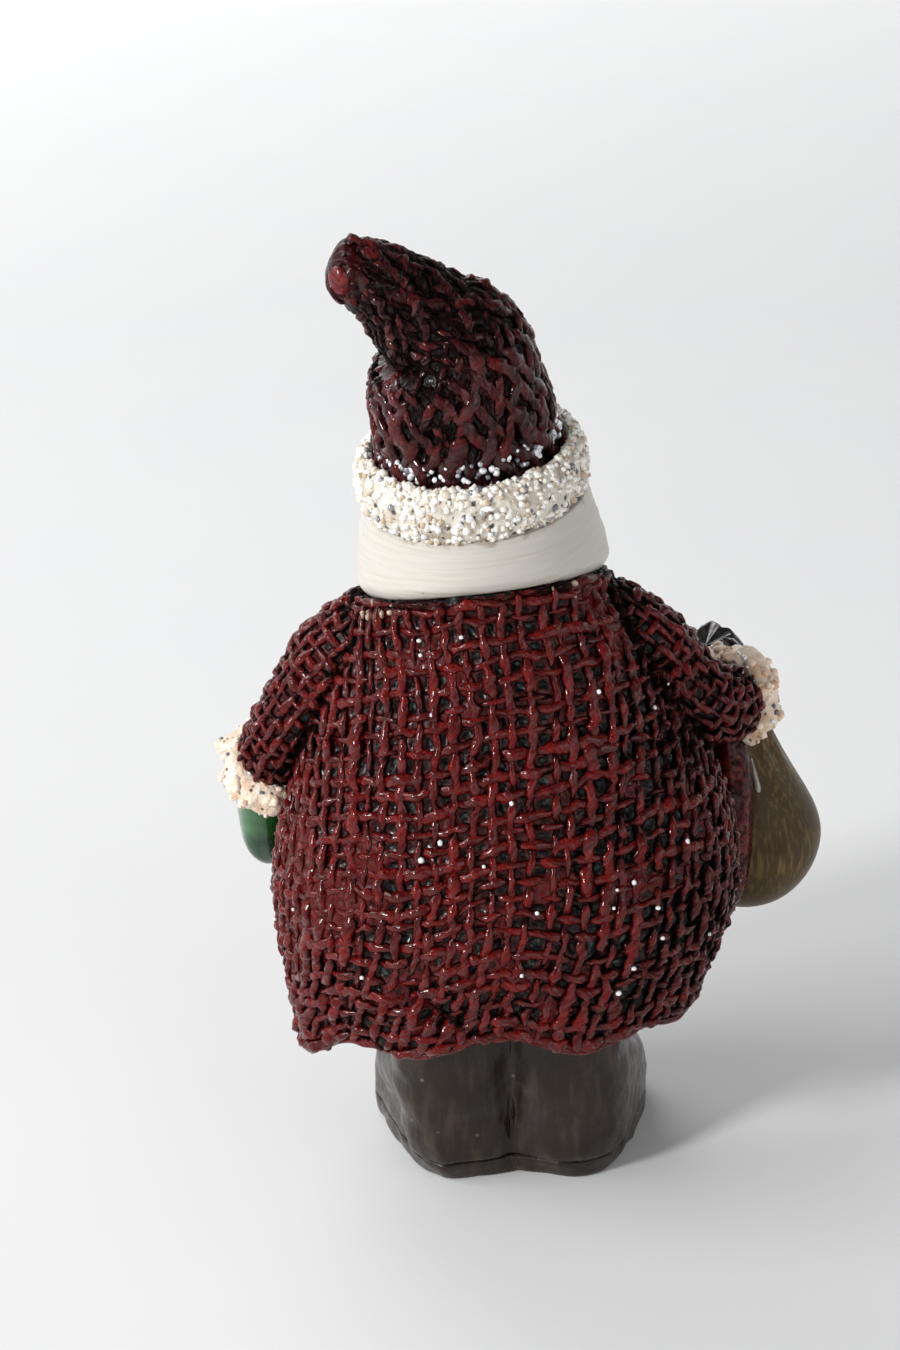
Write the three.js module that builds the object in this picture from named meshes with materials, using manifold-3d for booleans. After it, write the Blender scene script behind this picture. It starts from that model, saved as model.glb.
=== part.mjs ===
// Holiday figurine: cast head, boots, mittens and sack pinned to a cast torso, with a coat, sleeves and
// hat of stiffened burlap and rolled snow trims. Millimetres, +Z up, facing -Y, standing on z = 0.
import * as THREE from "three";
import { mergeVertices } from "three/addons/utils/BufferGeometryUtils.js";
import Module from "manifold-3d";

const wasm = await Module();
wasm.setup();

// Fits
const glueGap = 0.3; // gap between pieces that are glued together
const dowelGap = 0.3; // gap all round a dowel in its hole

// Facets
const bodyFacets = 32; // round the coat and the torso
const coatRings = 9; // up the coat
const limbFacets = 14; // round the arms, the boots, the beard and the sack
const limbRings = 8; // along them
const smallFacets = 8; // round the face pieces and dowels
const smallRings = 5;
const swellRings = 3; // along the swell of a mitten, fist or sack
const domeRings = 3; // over its rounded end
const domeFlat = 0.6; // share of a ring left flat at the end of a dome
const lockEndRings = 2; // over each rounded end of a lock of hair
const soleRings = 2; // up a sole
const weldDistance = 1e-4; // points closer than this are one point
const headFacets = 18; // round the head, the hair and the hat
const headRings = 10;
const hatRings = 13;
const ruffleFoldFacets = 4; // facets to each fold of the ruffle

// Coat: heights are stacked from the ground up
const hemHeight = 18.8; // at the sides and the front
const hemToBelly = 20.7;
const bellyToChest = 21;
const chestToShoulder = 15.5;
const shoulderToCollar = 5.7;
const hemHalfWidth = 26.5;
const hemHalfDepth = 23.5;
const hemShift = 2.2; // hem's middle to the figure's left
const bellyHalfWidth = 30.8;
const bellyHalfDepth = 26.5;
const chestHalfWidth = 26;
const chestHalfDepth = 21.5;
const shoulderHalfWidth = 19.5;
const shoulderHalfDepth = 17.5;
const collarHalfWidth = 16.4;
const collarHalfDepth = 15.6;
const collarTilt = 14.5; // degrees, higher at the back
const collarLean = 4.8; // degrees, lower on the figure's left
const coatCloth = 1.6; // thickness of the stiffened burlap
const hemBackLift = 8; // the hem is drawn up at the back
const hemFolds = 8; // soft flutes round the hem
const hemFoldDepth = 0.8;
const hemFoldDip = 1.1;
const hemFoldRise = 16; // the flutes fade out this far above the hem
const lapWidth = 11; // the coat's free edge laps over itself down the front
const lapStep = 1.3;
const skirtRecess = 2.5; // torso's underside above the hem

// Boots
const soleThickness = 3;
const bootHalfWidth = 9.8;
const heelReach = 9.8; // behind the leg's axis
const toeReach = 22; // in front of it
const toeRise = 3; // the toe's top lies this far behind its tip
const weltRound = 0.95; // share of the foot's outline at the ground
const bootSquareness = 0.8; // 1 is a plain oval, less is squarer
const instepHeight = 9;
const ankleHeight = 15;
const shaftHalfWidth = 9;
const shaftHalfDepth = 9.4;
const shaftExtra = 16; // the shaft runs this far past the hem, and the torso cuts it
const legSpread = 8.2; // each leg's axis from the middle
const legSetback = 4.5;
const toeSplay = 10; // degrees outwards
const legDowelRadius = 2.2;
const legDowelReach = 8; // into the boot and into the torso

// Arms
const shoulderDrop = 0.5; // arm root below the shoulder line
const shoulderInset = 6.5; // arm root inside the coat's side
const shoulderPitch = 35; // degrees below level that the arm leaves the shoulder
const sleeveRootRadius = 4.6; // inside the coat
const sleeveShoulderRadius = 6.2;
const sleeveShoulderPlace = 0.25; // along the sleeve, from its root
const sleeveElbowRadius = 5.8;
const elbowPlace = 0.5;
const sleeveCloth = 1.4;
const armDowelRadius = 1.1;
const armDowelInner = 8; // from the arm's axis into the torso
const armDowelOuter = 1.2; // past the arm's axis
const armDowelPlace = 0.58;
const leftWristHeight = 55.5;
const leftCuffGap = 0.1; // from the coat to the far end of the cuff's bore, besides the glue gap
const leftWristForward = 4.9;
const leftForearmPitch = 55; // degrees below level
const leftForearmYaw = 36; // degrees outwards from straight ahead
const leftHandPitch = 72;
const leftHandYaw = 0;
const leftSleeveWristRadius = 4.9;
const leftUpperArmBend = 9;
const leftForearmBend = 8;
const rightWristHeight = 60.5;
const rightCuffGap = 4.3;
const rightWristForward = 8;
const rightForearmPitch = 8;
const rightForearmYaw = 28;
const rightHandPitch = 20;
const rightHandYaw = -8;
const rightSleeveWristRadius = 5.3;
const rightUpperArmBend = 10;
const rightForearmBend = 11;
const cuffLength = 4.6; // along the wrist
const cuffProud = 1.6; // beyond the sleeve
const trimLip = 0.55; // share of a rolled trim's thickness at its lips

// Mittens
const handRoot = 3.5; // hand's root behind the end of the cuff, which cuts it
const mittenLength = 14; // past the cuff
const mittenHalfWidth = 4.6;
const mittenHalfThickness = 3.8;
const mittenSwell = 5; // from the root to the full palm
const mittenDome = 6; // rounded finger end
const fistLength = 10.5;
const fistRadius = 5;
const fistSwell = 5;
const fistDome = 5;
const thumbRadius = 1.6;
const thumbLength = 6;
const thumbLean = 25; // degrees away from the hand

// Sack
const gripReach = 5.5; // sack's neck past the cuff
const sackDrop = 32.5; // bottom below the grip
const sackBellyDrop = 22;
const sackBellyRadius = 10;
const sackNeckRadius = 3;
const sackLean = 2; // belly outwards from the grip
const ruffleRise = 8; // rim above the grip
const ruffleRadius = 3.6;
const ruffleLean = 4; // rim inwards from the grip
const ruffleFolds = 7;
const ruffleFoldDepth = 0.6;
const sackPinRadius = 1;
const sackPinDown = 10;
const sackPinUp = 6;
const webBottom = 29; // smooth rib that bonds the sack to the coat
const webHeight = 25;
const webStandOff = 1.2; // its middle outside the coat's side
const webForward = 9;
const webHalfWidth = 3.4;
const webHalfDepth = 4.6;
const webEndShare = 0.55; // share of its section left at its ends

// Head: measured along its own leaning axis from the chin line
const headLean = 4; // degrees to the figure's left
const headTilt = 8; // degrees back
const headShift = 1; // to the figure's left of the coat's middle
const neckRise = 3.3; // chin line above the collar's middle
const neckDepth = 9; // neck below the chin line, cut by the coat's top
const neckRadius = 8;
const cheekHeight = 5.5;
const cheekRadius = 11.8;
const crownRadius = 9.9;
const crownRise = 2.9; // head's top above the hat's trim
const crownTopRadius = 8;
const neckDowelRadius = 2;
const neckDowelReach = 8;
const hairHemRadius = 15.8;
const hairTopRadius = 14.2;
const hairDepth = 9; // below the chin line, cut by the coat's top
const hairFront = 3.5; // hair stops this far in front of the head's middle

// Face
const noseRadius = 2.1;
const noseHeight = 5.2;
const noseProud = 0.8; // its middle in front of the face
const eyeRadius = 1.1;
const eyeHeight = 6.7;
const eyeSpread = 4.2;
const browRadius = 0.75;
const browLength = 4.4;
const browGap = 0.15; // above the eye
const browArch = 0.5;
const moustacheHeight = 3.1;
const moustacheLength = 9.5;
const moustacheRadius = 2.3;
const moustacheTipRadius = 0.8;
const moustacheDroop = 3;
const moustacheSweep = 2; // tips swept back

// Beard
const beardTop = 4;
const beardDrop = 27; // tip below the chin line
const beardHalfWidth = 13.5;
const beardHalfDepth = 7.5;
const beardTipReach = 21; // tip in front of the head's middle
const beardTipRadius = 2.6;
const beardFullDrop = 12; // fullest part below the chin line
const beardFullReach = 16.5;
const beardFullHalfWidth = 11.5;
const beardFullHalfDepth = 6.8;
const beardRootReach = 7;

// Hat
const brimBottom = 9.9;
const brimHeight = 7.2;
const brimThickness = 2.4;
const hatCloth = 1.6;
const hatSkirtLap = 1.2; // hat's edge above the bottom of the trim
const hatShoulderRise = 12; // where the hat starts to close in, above the trim
const hatShoulderRadius = 10.4;
const hatShoulderReach = 1.2;
const hatShoulderToBend = 5.5;
const hatBendRadius = 7.2;
const hatBendReach = 4;
const hatBendToTail = 5.5;
const hatTailRadius = 4.6;
const hatTailReach = 8.4;
const hatTailBack = 0.3;
const hatTailToTip = 4.2;
const hatTipRadius = 2.7;
const hatTipReach = 12.8;
const hatTipBack = 0.5;
const tipBeadRadius = 2.2;
const tipBeadProud = 0.6; // its middle past the hat's end

// Derived heights and places
const bellyZ = hemHeight + hemToBelly;
const chestZ = bellyZ + bellyToChest;
const shoulderZ = chestZ + chestToShoulder;
const collarZ = shoulderZ + shoulderToCollar;
const brimTop = brimBottom + brimHeight;
const crownHeight = brimTop + crownRise;
const browHeight = eyeHeight + eyeRadius + browGap + browRadius;
const hatBendRise = hatShoulderRise + hatShoulderToBend;
const hatTailRise = hatBendRise + hatBendToTail;
const hatTipRise = hatTailRise + hatTailToTip;
const hatRadius = crownRadius + glueGap + hatCloth;
const bootTop = hemHeight + shaftExtra;
const radians = THREE.MathUtils.degToRad;
const frontTurn = -Math.PI / 2;
const farOff = 4 * (collarZ + bellyHalfWidth); // beyond every piece

// Shape tools

// Smooth values between stations; each row is [place, value, value ...] and the ends hold their values.
function stationCurve(rows) {
  const places = rows.map((row) => row[0]);
  const values = rows.flatMap((row) => row.slice(1));
  const curve = new THREE.CubicInterpolant(places, values, rows[0].length - 1);
  return (place) => Array.from(curve.evaluate(place));
}

function turnsOf(count) {
  return Array.from({ length: count }, (_, i) => (2 * Math.PI * i) / count);
}

// An oval of half sizes a and b along two axes round a centre, squarer as `square` falls below 1.
function ovalRing(centre, axisA, axisB, a, b, count, square = 1) {
  const bent = (value) => Math.sign(value) * Math.abs(value) ** square;
  return turnsOf(count).map((turn) =>
    centre
      .clone()
      .addScaledVector(axisA, a * bent(Math.cos(turn)))
      .addScaledVector(axisB, b * bent(Math.sin(turn))),
  );
}

const axisX = new THREE.Vector3(1, 0, 0);
const axisY = new THREE.Vector3(0, 1, 0);
const axisZ = new THREE.Vector3(0, 0, 1);

// A closed body over rings of equal point count, with a fan over each end.
function skinOver(rings) {
  const count = rings[0].length;
  const points = rings.flat();
  const faces = [];
  for (let i = 0; i + 1 < rings.length; i++) {
    for (let j = 0; j < count; j++) {
      const next = (j + 1) % count;
      const [a, b] = [i * count + j, i * count + next];
      faces.push(a, b, b + count, a, b + count, a + count);
    }
  }
  const lastRing = (rings.length - 1) * count;
  const middle = (ring) => ring.reduce((sum, p) => sum.add(p), new THREE.Vector3()).divideScalar(count);
  const bottom = points.push(middle(rings[0])) - 1;
  const top = points.push(middle(rings.at(-1))) - 1;
  for (let j = 0; j < count; j++) {
    const next = (j + 1) % count;
    faces.push(bottom, next, j, top, lastRing + j, lastRing + next);
  }
  const geometry = new THREE.BufferGeometry().setFromPoints(points);
  geometry.setIndex(faces);
  return geometry;
}

// A body of level ovals: stations are [z, centre x, centre y, half width, half depth].
function levelBody(stations, rings, facets) {
  const at = stationCurve(stations);
  const [low, high] = [stations[0][0], stations.at(-1)[0]];
  return skinOver(
    Array.from({ length: rings + 1 }, (_, i) => {
      const z = low + ((high - low) * i) / rings;
      const [x, y, halfWidth, halfDepth] = at(z);
      return ovalRing(new THREE.Vector3(x, y, z), axisX, axisY, halfWidth, halfDepth, facets);
    }),
  );
}

// Round rings along a curve, from share `from` to share `to` of its parameter.
function ringsAlong(curve, radiusAt, rings, facets, from = 0, to = 1) {
  const frames = curve.computeFrenetFrames(rings);
  return Array.from({ length: rings + 1 }, (_, i) => {
    const share = from + ((to - from) * i) / rings;
    const radius = radiusAt(share);
    const tangent = curve.getTangent(share);
    const across = frames.normals[i].clone().projectOnPlane(tangent).normalize();
    const over = new THREE.Vector3().crossVectors(tangent, across);
    return ovalRing(curve.getPoint(share), across, over, radius, radius, facets);
  });
}

function movedRing(ring, direction, distance) {
  return ring.map((point) => point.clone().addScaledVector(direction, distance));
}

function ball(centre, radius, facets = smallFacets, rings = smallRings) {
  return new THREE.SphereGeometry(radius, facets, rings).translate(centre.x, centre.y, centre.z);
}

// A cylinder between two points.
function dowelBetween(start, end, radius, extra = 0) {
  const direction = end.clone().sub(start).normalize();
  const length = start.distanceTo(end) + 2 * extra;
  return new THREE.CylinderGeometry(radius, radius, length, smallFacets)
    .applyQuaternion(new THREE.Quaternion().setFromUnitVectors(axisY, direction))
    .translate(...start.clone().add(end).divideScalar(2).toArray());
}

function boxBetween(low, high) {
  const size = high.clone().sub(low);
  const middle = low.clone().add(high).divideScalar(2);
  return new THREE.BoxGeometry(size.x, size.y, size.z).translate(middle.x, middle.y, middle.z);
}

// Solid tools

function toSolid(geometry) {
  const bare = new THREE.BufferGeometry().setAttribute("position", geometry.getAttribute("position"));
  if (geometry.index) bare.setIndex(geometry.index);
  const merged = mergeVertices(bare, weldDistance);
  return new wasm.Manifold(
    new wasm.Mesh({
      numProp: 3,
      vertProperties: new Float32Array(merged.getAttribute("position").array),
      triVerts: new Uint32Array(merged.index.array),
    }),
  );
}

function toGeometry(solid) {
  const mesh = solid.getMesh();
  const geometry = new THREE.BufferGeometry();
  geometry.setAttribute("position", new THREE.BufferAttribute(new Float32Array(mesh.vertProperties), 3));
  geometry.setIndex(new THREE.BufferAttribute(new Uint32Array(mesh.triVerts), 1));
  geometry.computeVertexNormals();
  return geometry;
}

function carve(body, ...tools) {
  return toGeometry(tools.reduce((left, tool) => left.subtract(toSolid(tool)), toSolid(body)));
}

function fuse(first, ...others) {
  return toGeometry(others.reduce((sum, other) => sum.add(toSolid(other)), toSolid(first)));
}

function placed(geometry, matrix) {
  return geometry.clone().applyMatrix4(matrix);
}

// The same geometry as seen from a frame.
function inFrame(geometry, frame) {
  return placed(geometry, frame.clone().invert());
}

// Coat and torso

const coatStations = stationCurve([
  [hemHeight, hemHalfWidth, hemHalfDepth, hemShift],
  [bellyZ, bellyHalfWidth, bellyHalfDepth, 0],
  [chestZ, chestHalfWidth, chestHalfDepth, 0],
  [shoulderZ, shoulderHalfWidth, shoulderHalfDepth, 0],
  [collarZ, collarHalfWidth, collarHalfDepth, headShift],
]);

function coatHalfWidth(z) {
  return coatStations(z)[0];
}

// Where the coat's side is, at a height and this far in front of its middle.
function coatSide(side, forward, z) {
  const [halfWidth, halfDepth, shift] = coatStations(z);
  return shift + side * halfWidth * Math.sqrt(1 - (forward / halfDepth) ** 2);
}

// How far along x a point moves there for each millimetre of clearance from the sloping side.
function sideSlope(side, forward, z) {
  const ahead = coatSide(side, forward + glueGap, z) - coatSide(side, forward - glueGap, z);
  const up = coatSide(side, forward, z + glueGap) - coatSide(side, forward, z - glueGap);
  return Math.hypot(1, ahead / (2 * glueGap), up / (2 * glueGap));
}

// How far the hem's flutes and the front lap stand off the plain oval.
function coatRelief(turn, z) {
  const fade = THREE.MathUtils.clamp(1 - (z - hemHeight) / hemFoldRise, 0, 1);
  const flute = -hemFoldDepth * fade * Math.cos(hemFolds * turn);
  const pastEdge = (turn - frontTurn + 2 * Math.PI) % (2 * Math.PI);
  const across = pastEdge * coatStations(z)[1];
  const lap = across < lapWidth ? lapStep * (1 - across / lapWidth) : 0;
  return flute + lap;
}

function coatPoint(turn, z, grow) {
  const [halfWidth, halfDepth, shift] = coatStations(z);
  const off = grow + coatRelief(turn, z);
  return new THREE.Vector3(shift + (halfWidth + off) * Math.cos(turn), (halfDepth + off) * Math.sin(turn), z);
}

// The hem's plain level: drawn up behind.
function hemLevel(turn) {
  return hemHeight + hemBackLift * Math.max(0, Math.sin(turn)) ** 2;
}

function hemLine(turn) {
  return hemLevel(turn) + hemFoldDip * Math.cos(hemFolds * turn);
}

function torsoFloor(turn) {
  return hemLevel(turn) + hemFoldDip + skirtRecess;
}

// The collar's plane, where a body `grow` outside the coat meets it.
function collarLine(turn, grow) {
  const back = Math.tan(radians(collarTilt)) * (collarHalfDepth + grow) * Math.sin(turn);
  const left = Math.tan(radians(collarLean)) * (collarHalfWidth + grow) * Math.cos(turn);
  return collarZ + back - left;
}

// A body `grow` outside the coat's surface, run past the hem and the collar by `extra`. Every such body
// has its rings at the same levels, so that nested walls keep their gap all over.
function coatBody(grow, extra = 0) {
  const rings = Array.from({ length: coatRings + 1 }, (_, i) =>
    turnsOf(bodyFacets).map((turn) =>
      coatPoint(turn, THREE.MathUtils.lerp(hemLine(turn), collarLine(turn, grow), i / coatRings), grow),
    ),
  );
  if (extra > 0) {
    rings.unshift(movedRing(rings[0], axisZ, -extra));
    rings.push(movedRing(rings.at(-1), axisZ, extra));
  }
  return skinOver(rings);
}

// A slab as wide as the coat that ends on the torso's underside, above it or below it.
function floorSlab(thickness, offset) {
  const edge = turnsOf(bodyFacets).map((turn) => coatPoint(turn, torsoFloor(turn) + offset, overrun));
  const other = movedRing(edge, axisZ, thickness);
  return skinOver(thickness > 0 ? [edge, other] : [other, edge]);
}

const overrun = 6; // a cutting body runs this far past what it cuts
const coatKeepOut = coatBody(glueGap, glueGap);

function coatShell(...holes) {
  return carve(coatBody(0), coatBody(-coatCloth, overrun), ...holes);
}

function torso(...holes) {
  return carve(coatBody(-coatCloth - glueGap), floorSlab(-collarZ, 0), ...holes);
}

// Boots: each stands in its own frame, with the leg's axis at its origin and the toe towards -Y

const bootMiddle = (heelReach - toeReach) / 2;
const bootHalfLength = (heelReach + toeReach) / 2;
const bootStations = [
  [0, 0, bootMiddle, bootHalfWidth * weltRound, bootHalfLength * weltRound],
  [soleThickness, 0, bootMiddle, bootHalfWidth, bootHalfLength],
  [instepHeight, 0, bootMiddle + toeRise / 2, bootHalfWidth, bootHalfLength - toeRise / 2],
  [ankleHeight, 0, 0, shaftHalfWidth, shaftHalfDepth],
  [bootTop, 0, 0, shaftHalfWidth, shaftHalfDepth],
];
const bootAt = stationCurve(bootStations);

function bootRings(low, high, count) {
  return Array.from({ length: count + 1 }, (_, i) => {
    const z = low + ((high - low) * i) / count;
    const [x, y, halfWidth, halfLength] = bootAt(z);
    const centre = new THREE.Vector3(x, y, z);
    return ovalRing(centre, axisX, axisY, halfWidth, halfLength, limbFacets, bootSquareness);
  });
}

function legMatrix(side) {
  return new THREE.Matrix4()
    .makeTranslation(side * legSpread, legSetback, 0)
    .multiply(new THREE.Matrix4().makeRotationZ(side * radians(toeSplay)));
}

// The boots meet on a flat face, half the glue gap from the middle.
function otherSide(side) {
  const edge = (side * glueGap) / 2;
  const [low, high] = side > 0 ? [-farOff, edge] : [edge, farOff];
  return boxBetween(new THREE.Vector3(low, -farOff, -farOff), new THREE.Vector3(high, farOff, farOff));
}

function legDowel(side, grow) {
  const [x, y] = [side * legSpread, legSetback];
  const joint = torsoFloor(Math.atan2(y, x));
  const foot = new THREE.Vector3(x, y, joint - legDowelReach);
  const head = new THREE.Vector3(x, y, joint + legDowelReach);
  return dowelBetween(foot, head, legDowelRadius + grow, grow);
}

function boot(side) {
  const body = placed(skinOver(bootRings(soleThickness + glueGap, bootTop, limbRings)), legMatrix(side));
  return carve(body, otherSide(side), floorSlab(collarZ, -glueGap), legDowel(side, dowelGap));
}

function sole(side) {
  return carve(placed(skinOver(bootRings(0, soleThickness, soleRings)), legMatrix(side)), otherSide(side));
}

// Arms

function pointing(side, pitch, yaw) {
  const level = Math.cos(radians(pitch));
  return new THREE.Vector3(
    side * Math.sin(radians(yaw)) * level,
    -Math.cos(radians(yaw)) * level,
    -Math.sin(radians(pitch)),
  );
}

// A frame at a point with its z axis along a direction and its x axis outwards from the body.
function limbFrame(side, origin, direction) {
  const outward = new THREE.Vector3(side, 0, 0).projectOnPlane(direction).normalize();
  const across = new THREE.Vector3().crossVectors(direction, outward);
  return new THREE.Matrix4().makeBasis(outward, across, direction).setPosition(origin);
}

// Corner radius of a faceted bore whose flats lie on `inner`.
function boreRadius(inner, facets) {
  return inner / Math.cos(Math.PI / facets);
}

function armPlan(side, sizes) {
  const rootZ = shoulderZ - shoulderDrop;
  const root = new THREE.Vector3(side * (coatHalfWidth(rootZ) - shoulderInset), 0, rootZ);
  const wrist = new THREE.Vector3(0, -sizes.wristForward, sizes.wristHeight);
  const coreRadius = sizes.sleeveWristRadius - sleeveCloth - glueGap;
  const cuffBore = coreRadius + glueGap;
  const clear = boreRadius(cuffBore, limbFacets) + glueGap + sizes.cuffGap;
  const end = wrist.clone().addScaledVector(sizes.forearm, cuffEnd);
  const standOff = clear * sideSlope(side, -end.y, end.z);
  wrist.setX(coatSide(side, -end.y, end.z) + side * standOff - end.x);
  const drop = radians(shoulderPitch);
  const leave = new THREE.Vector3(side * Math.cos(drop), 0, -Math.sin(drop));
  const curve = new THREE.CubicBezierCurve3(
    root,
    root.clone().addScaledVector(leave, sizes.upperArmBend),
    wrist.clone().addScaledVector(sizes.forearm, -sizes.forearmBend),
    wrist,
  );
  const sleeveRadius = stationCurve([
    [0, sleeveRootRadius],
    [sleeveShoulderPlace, sleeveShoulderRadius],
    [elbowPlace, sleeveElbowRadius],
    [1, sizes.sleeveWristRadius],
  ]);
  const frame = limbFrame(side, wrist, sizes.forearm);
  const palm = new THREE.Vector3(0, 0, cuffEnd + glueGap).applyMatrix4(frame);
  return {
    side,
    curve,
    frame,
    sleeveRadius,
    forearm: sizes.forearm,
    handFrame: limbFrame(side, palm, sizes.hand),
    coreRadius,
    cuffBore,
    cuffRadius: sizes.sleeveWristRadius + cuffProud,
  };
}

const cuffEnd = glueGap + cuffLength;
const leftArm = armPlan(1, {
  wristHeight: leftWristHeight,
  cuffGap: leftCuffGap,
  wristForward: leftWristForward,
  forearm: pointing(1, leftForearmPitch, leftForearmYaw),
  hand: pointing(1, leftHandPitch, leftHandYaw),
  sleeveWristRadius: leftSleeveWristRadius,
  upperArmBend: leftUpperArmBend,
  forearmBend: leftForearmBend,
});
const rightArm = armPlan(-1, {
  wristHeight: rightWristHeight,
  cuffGap: rightCuffGap,
  wristForward: rightWristForward,
  forearm: pointing(-1, rightForearmPitch, rightForearmYaw),
  hand: pointing(-1, rightHandPitch, rightHandYaw),
  sleeveWristRadius: rightSleeveWristRadius,
  upperArmBend: rightUpperArmBend,
  forearmBend: rightForearmBend,
});

// A body round the arm's axis, `grow` from the sleeve's surface, run on past the wrist by `extra`.
function armBody(arm, grow, extra) {
  const rings = ringsAlong(arm.curve, (share) => arm.sleeveRadius(share)[0] + grow, limbRings, limbFacets);
  if (extra > 0) rings.push(movedRing(rings.at(-1), arm.forearm, extra));
  return skinOver(rings);
}

function armDowel(arm, grow) {
  const pin = arm.curve.getPoint(armDowelPlace);
  const inner = pin.clone().setX(pin.x - arm.side * armDowelInner);
  const outer = pin.clone().setX(pin.x + arm.side * armDowelOuter);
  return dowelBetween(inner, outer, armDowelRadius + grow, grow);
}

function sleeve(arm) {
  const hollow = armBody(arm, -sleeveCloth, overrun);
  return carve(armBody(arm, 0, 0), hollow, coatKeepOut, armDowel(arm, dowelGap));
}

function armCore(arm) {
  const core = armBody(arm, -sleeveCloth - glueGap, cuffEnd);
  return carve(core, coatKeepOut, armDowel(arm, dowelGap));
}

// A rolled trim round the z axis: flat inside and at its lips, rounded outside. The flats of its facets
// lie on `inner`.
function rolledBand(inner, thickness, low, high, facets, grow = 0) {
  const bore = boreRadius(inner - grow, facets);
  const lip = inner + thickness * trimLip + grow;
  const middle = (low + high) / 2;
  const halfHeight = (high - low) / 2 + grow;
  const outline = [new THREE.Vector2(bore, middle - halfHeight)];
  for (let i = 0; i <= smallRings; i++) {
    const turn = (Math.PI * i) / smallRings;
    const bulge = lip + thickness * (1 - trimLip) * Math.sin(turn);
    outline.push(new THREE.Vector2(bulge, middle - halfHeight * Math.cos(turn)));
  }
  outline.push(new THREE.Vector2(bore, middle + halfHeight), outline[0].clone());
  return new THREE.LatheGeometry(outline, facets).rotateX(Math.PI / 2);
}

function cuffBand(arm, grow = 0) {
  return rolledBand(arm.cuffBore, arm.cuffRadius - arm.cuffBore, glueGap, cuffEnd, limbFacets, grow);
}

function cuff(arm) {
  return carve(cuffBand(arm), inFrame(coatKeepOut, arm.frame));
}

// Mittens: each lies along the z axis of its hand's frame, which starts where the cuff ends

// A body along +z that swells from a neck to its full oval and ends in a dome.
function domedBody(sizes) {
  const { start, swell, length, dome, neck, halfX, halfY } = sizes;
  const { lean = 0, grow = 0, facets = limbFacets } = sizes;
  const rings = [];
  const addRing = (z, shift, a, b) =>
    rings.push(ovalRing(new THREE.Vector3(shift, 0, z), axisX, axisY, a + grow, b + grow, facets));
  for (let i = 0; i <= swellRings; i++) {
    const share = THREE.MathUtils.smoothstep(i / swellRings, 0, 1);
    const [a, b] = [halfX, halfY].map((half) => THREE.MathUtils.lerp(neck, half, share));
    addRing(start + (swell * i) / swellRings, lean * share, a, b);
  }
  const base = length - dome;
  if (base > start + swell) addRing(base, lean, halfX, halfY);
  for (let i = 1; i <= domeRings; i++) {
    const turn = (Math.PI / 2) * (i / (domeRings + domeFlat));
    addRing(base + (dome + grow) * Math.sin(turn), lean, halfX * Math.cos(turn), halfY * Math.cos(turn));
  }
  return skinOver(rings);
}

// A thumb that leans out from the side of a hand, at a turn round it from its outer face.
function thumb(start, offset, turn, grow = 0) {
  const finger = domedBody({
    start: -thumbRadius,
    swell: thumbRadius,
    length: thumbLength,
    dome: thumbRadius,
    neck: thumbRadius,
    halfX: thumbRadius,
    halfY: thumbRadius,
    grow,
    facets: smallFacets,
  });
  return finger.rotateY(radians(thumbLean)).translate(offset, 0, start).rotateZ(turn);
}

// What a hand keeps clear of: the coat, and the arm up to the end of its cuff.
function handKeepOuts(arm) {
  const behindCuff = boxBetween(
    new THREE.Vector3(-farOff, -farOff, -farOff),
    new THREE.Vector3(farOff, farOff, cuffEnd + glueGap),
  );
  return [inFrame(coatKeepOut, arm.handFrame), inFrame(placed(behindCuff, arm.frame), arm.handFrame)];
}

function mitten(arm) {
  const palm = domedBody({
    start: -handRoot,
    swell: mittenSwell,
    length: mittenLength,
    dome: mittenDome,
    neck: arm.coreRadius,
    halfX: mittenHalfThickness,
    halfY: mittenHalfWidth,
  });
  const frontThumb = thumb(mittenSwell, mittenHalfWidth - thumbRadius, Math.PI / 2);
  return carve(fuse(palm, frontThumb), ...handKeepOuts(arm));
}

function fistPalm(arm, grow = 0) {
  return domedBody({
    start: -handRoot,
    swell: fistSwell,
    length: fistLength,
    dome: fistDome,
    neck: arm.coreRadius,
    halfX: fistRadius,
    halfY: fistRadius,
    grow,
  });
}

function fistThumb(grow = 0) {
  return thumb(fistSwell, fistRadius - thumbRadius, Math.PI, grow);
}

function fist(arm) {
  const pinHole = inFrame(sackPin(dowelGap), arm.handFrame);
  return carve(fuse(fistPalm(arm), fistThumb()), pinHole, ...handKeepOuts(arm));
}

// Sack: hangs on its pin below the grip of the right fist, and a rib bonds it to the coat

const grip = new THREE.Vector3(0, 0, gripReach).applyMatrix4(rightArm.handFrame);
const gripFrame = new THREE.Matrix4().setPosition(grip);

function sackPin(grow) {
  const foot = grip.clone().setZ(grip.z - sackPinDown);
  const top = grip.clone().setZ(grip.z + sackPinUp);
  return dowelBetween(foot, top, sackPinRadius + grow, grow);
}

function webBody(grow = 0) {
  const x = -(coatHalfWidth(webBottom + webHeight / 2) + webStandOff);
  const section = (share) => [x, -webForward, webHalfWidth * share + grow, webHalfDepth * share + grow];
  return levelBody(
    [
      [webBottom - grow, ...section(webEndShare)],
      [webBottom + webHeight / 2, ...section(1)],
      [webBottom + webHeight + grow, ...section(webEndShare)],
    ],
    smallRings,
    smallFacets,
  );
}

// What the sack and its ruffle keep clear of.
function sackKeepOuts() {
  return [
    placed(fistPalm(rightArm, glueGap), rightArm.handFrame),
    placed(fistThumb(glueGap), rightArm.handFrame),
    placed(cuffBand(rightArm, glueGap), rightArm.frame),
    armBody(rightArm, glueGap, cuffEnd),
    coatKeepOut,
    sackPin(dowelGap),
    webBody(glueGap),
  ];
}

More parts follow.
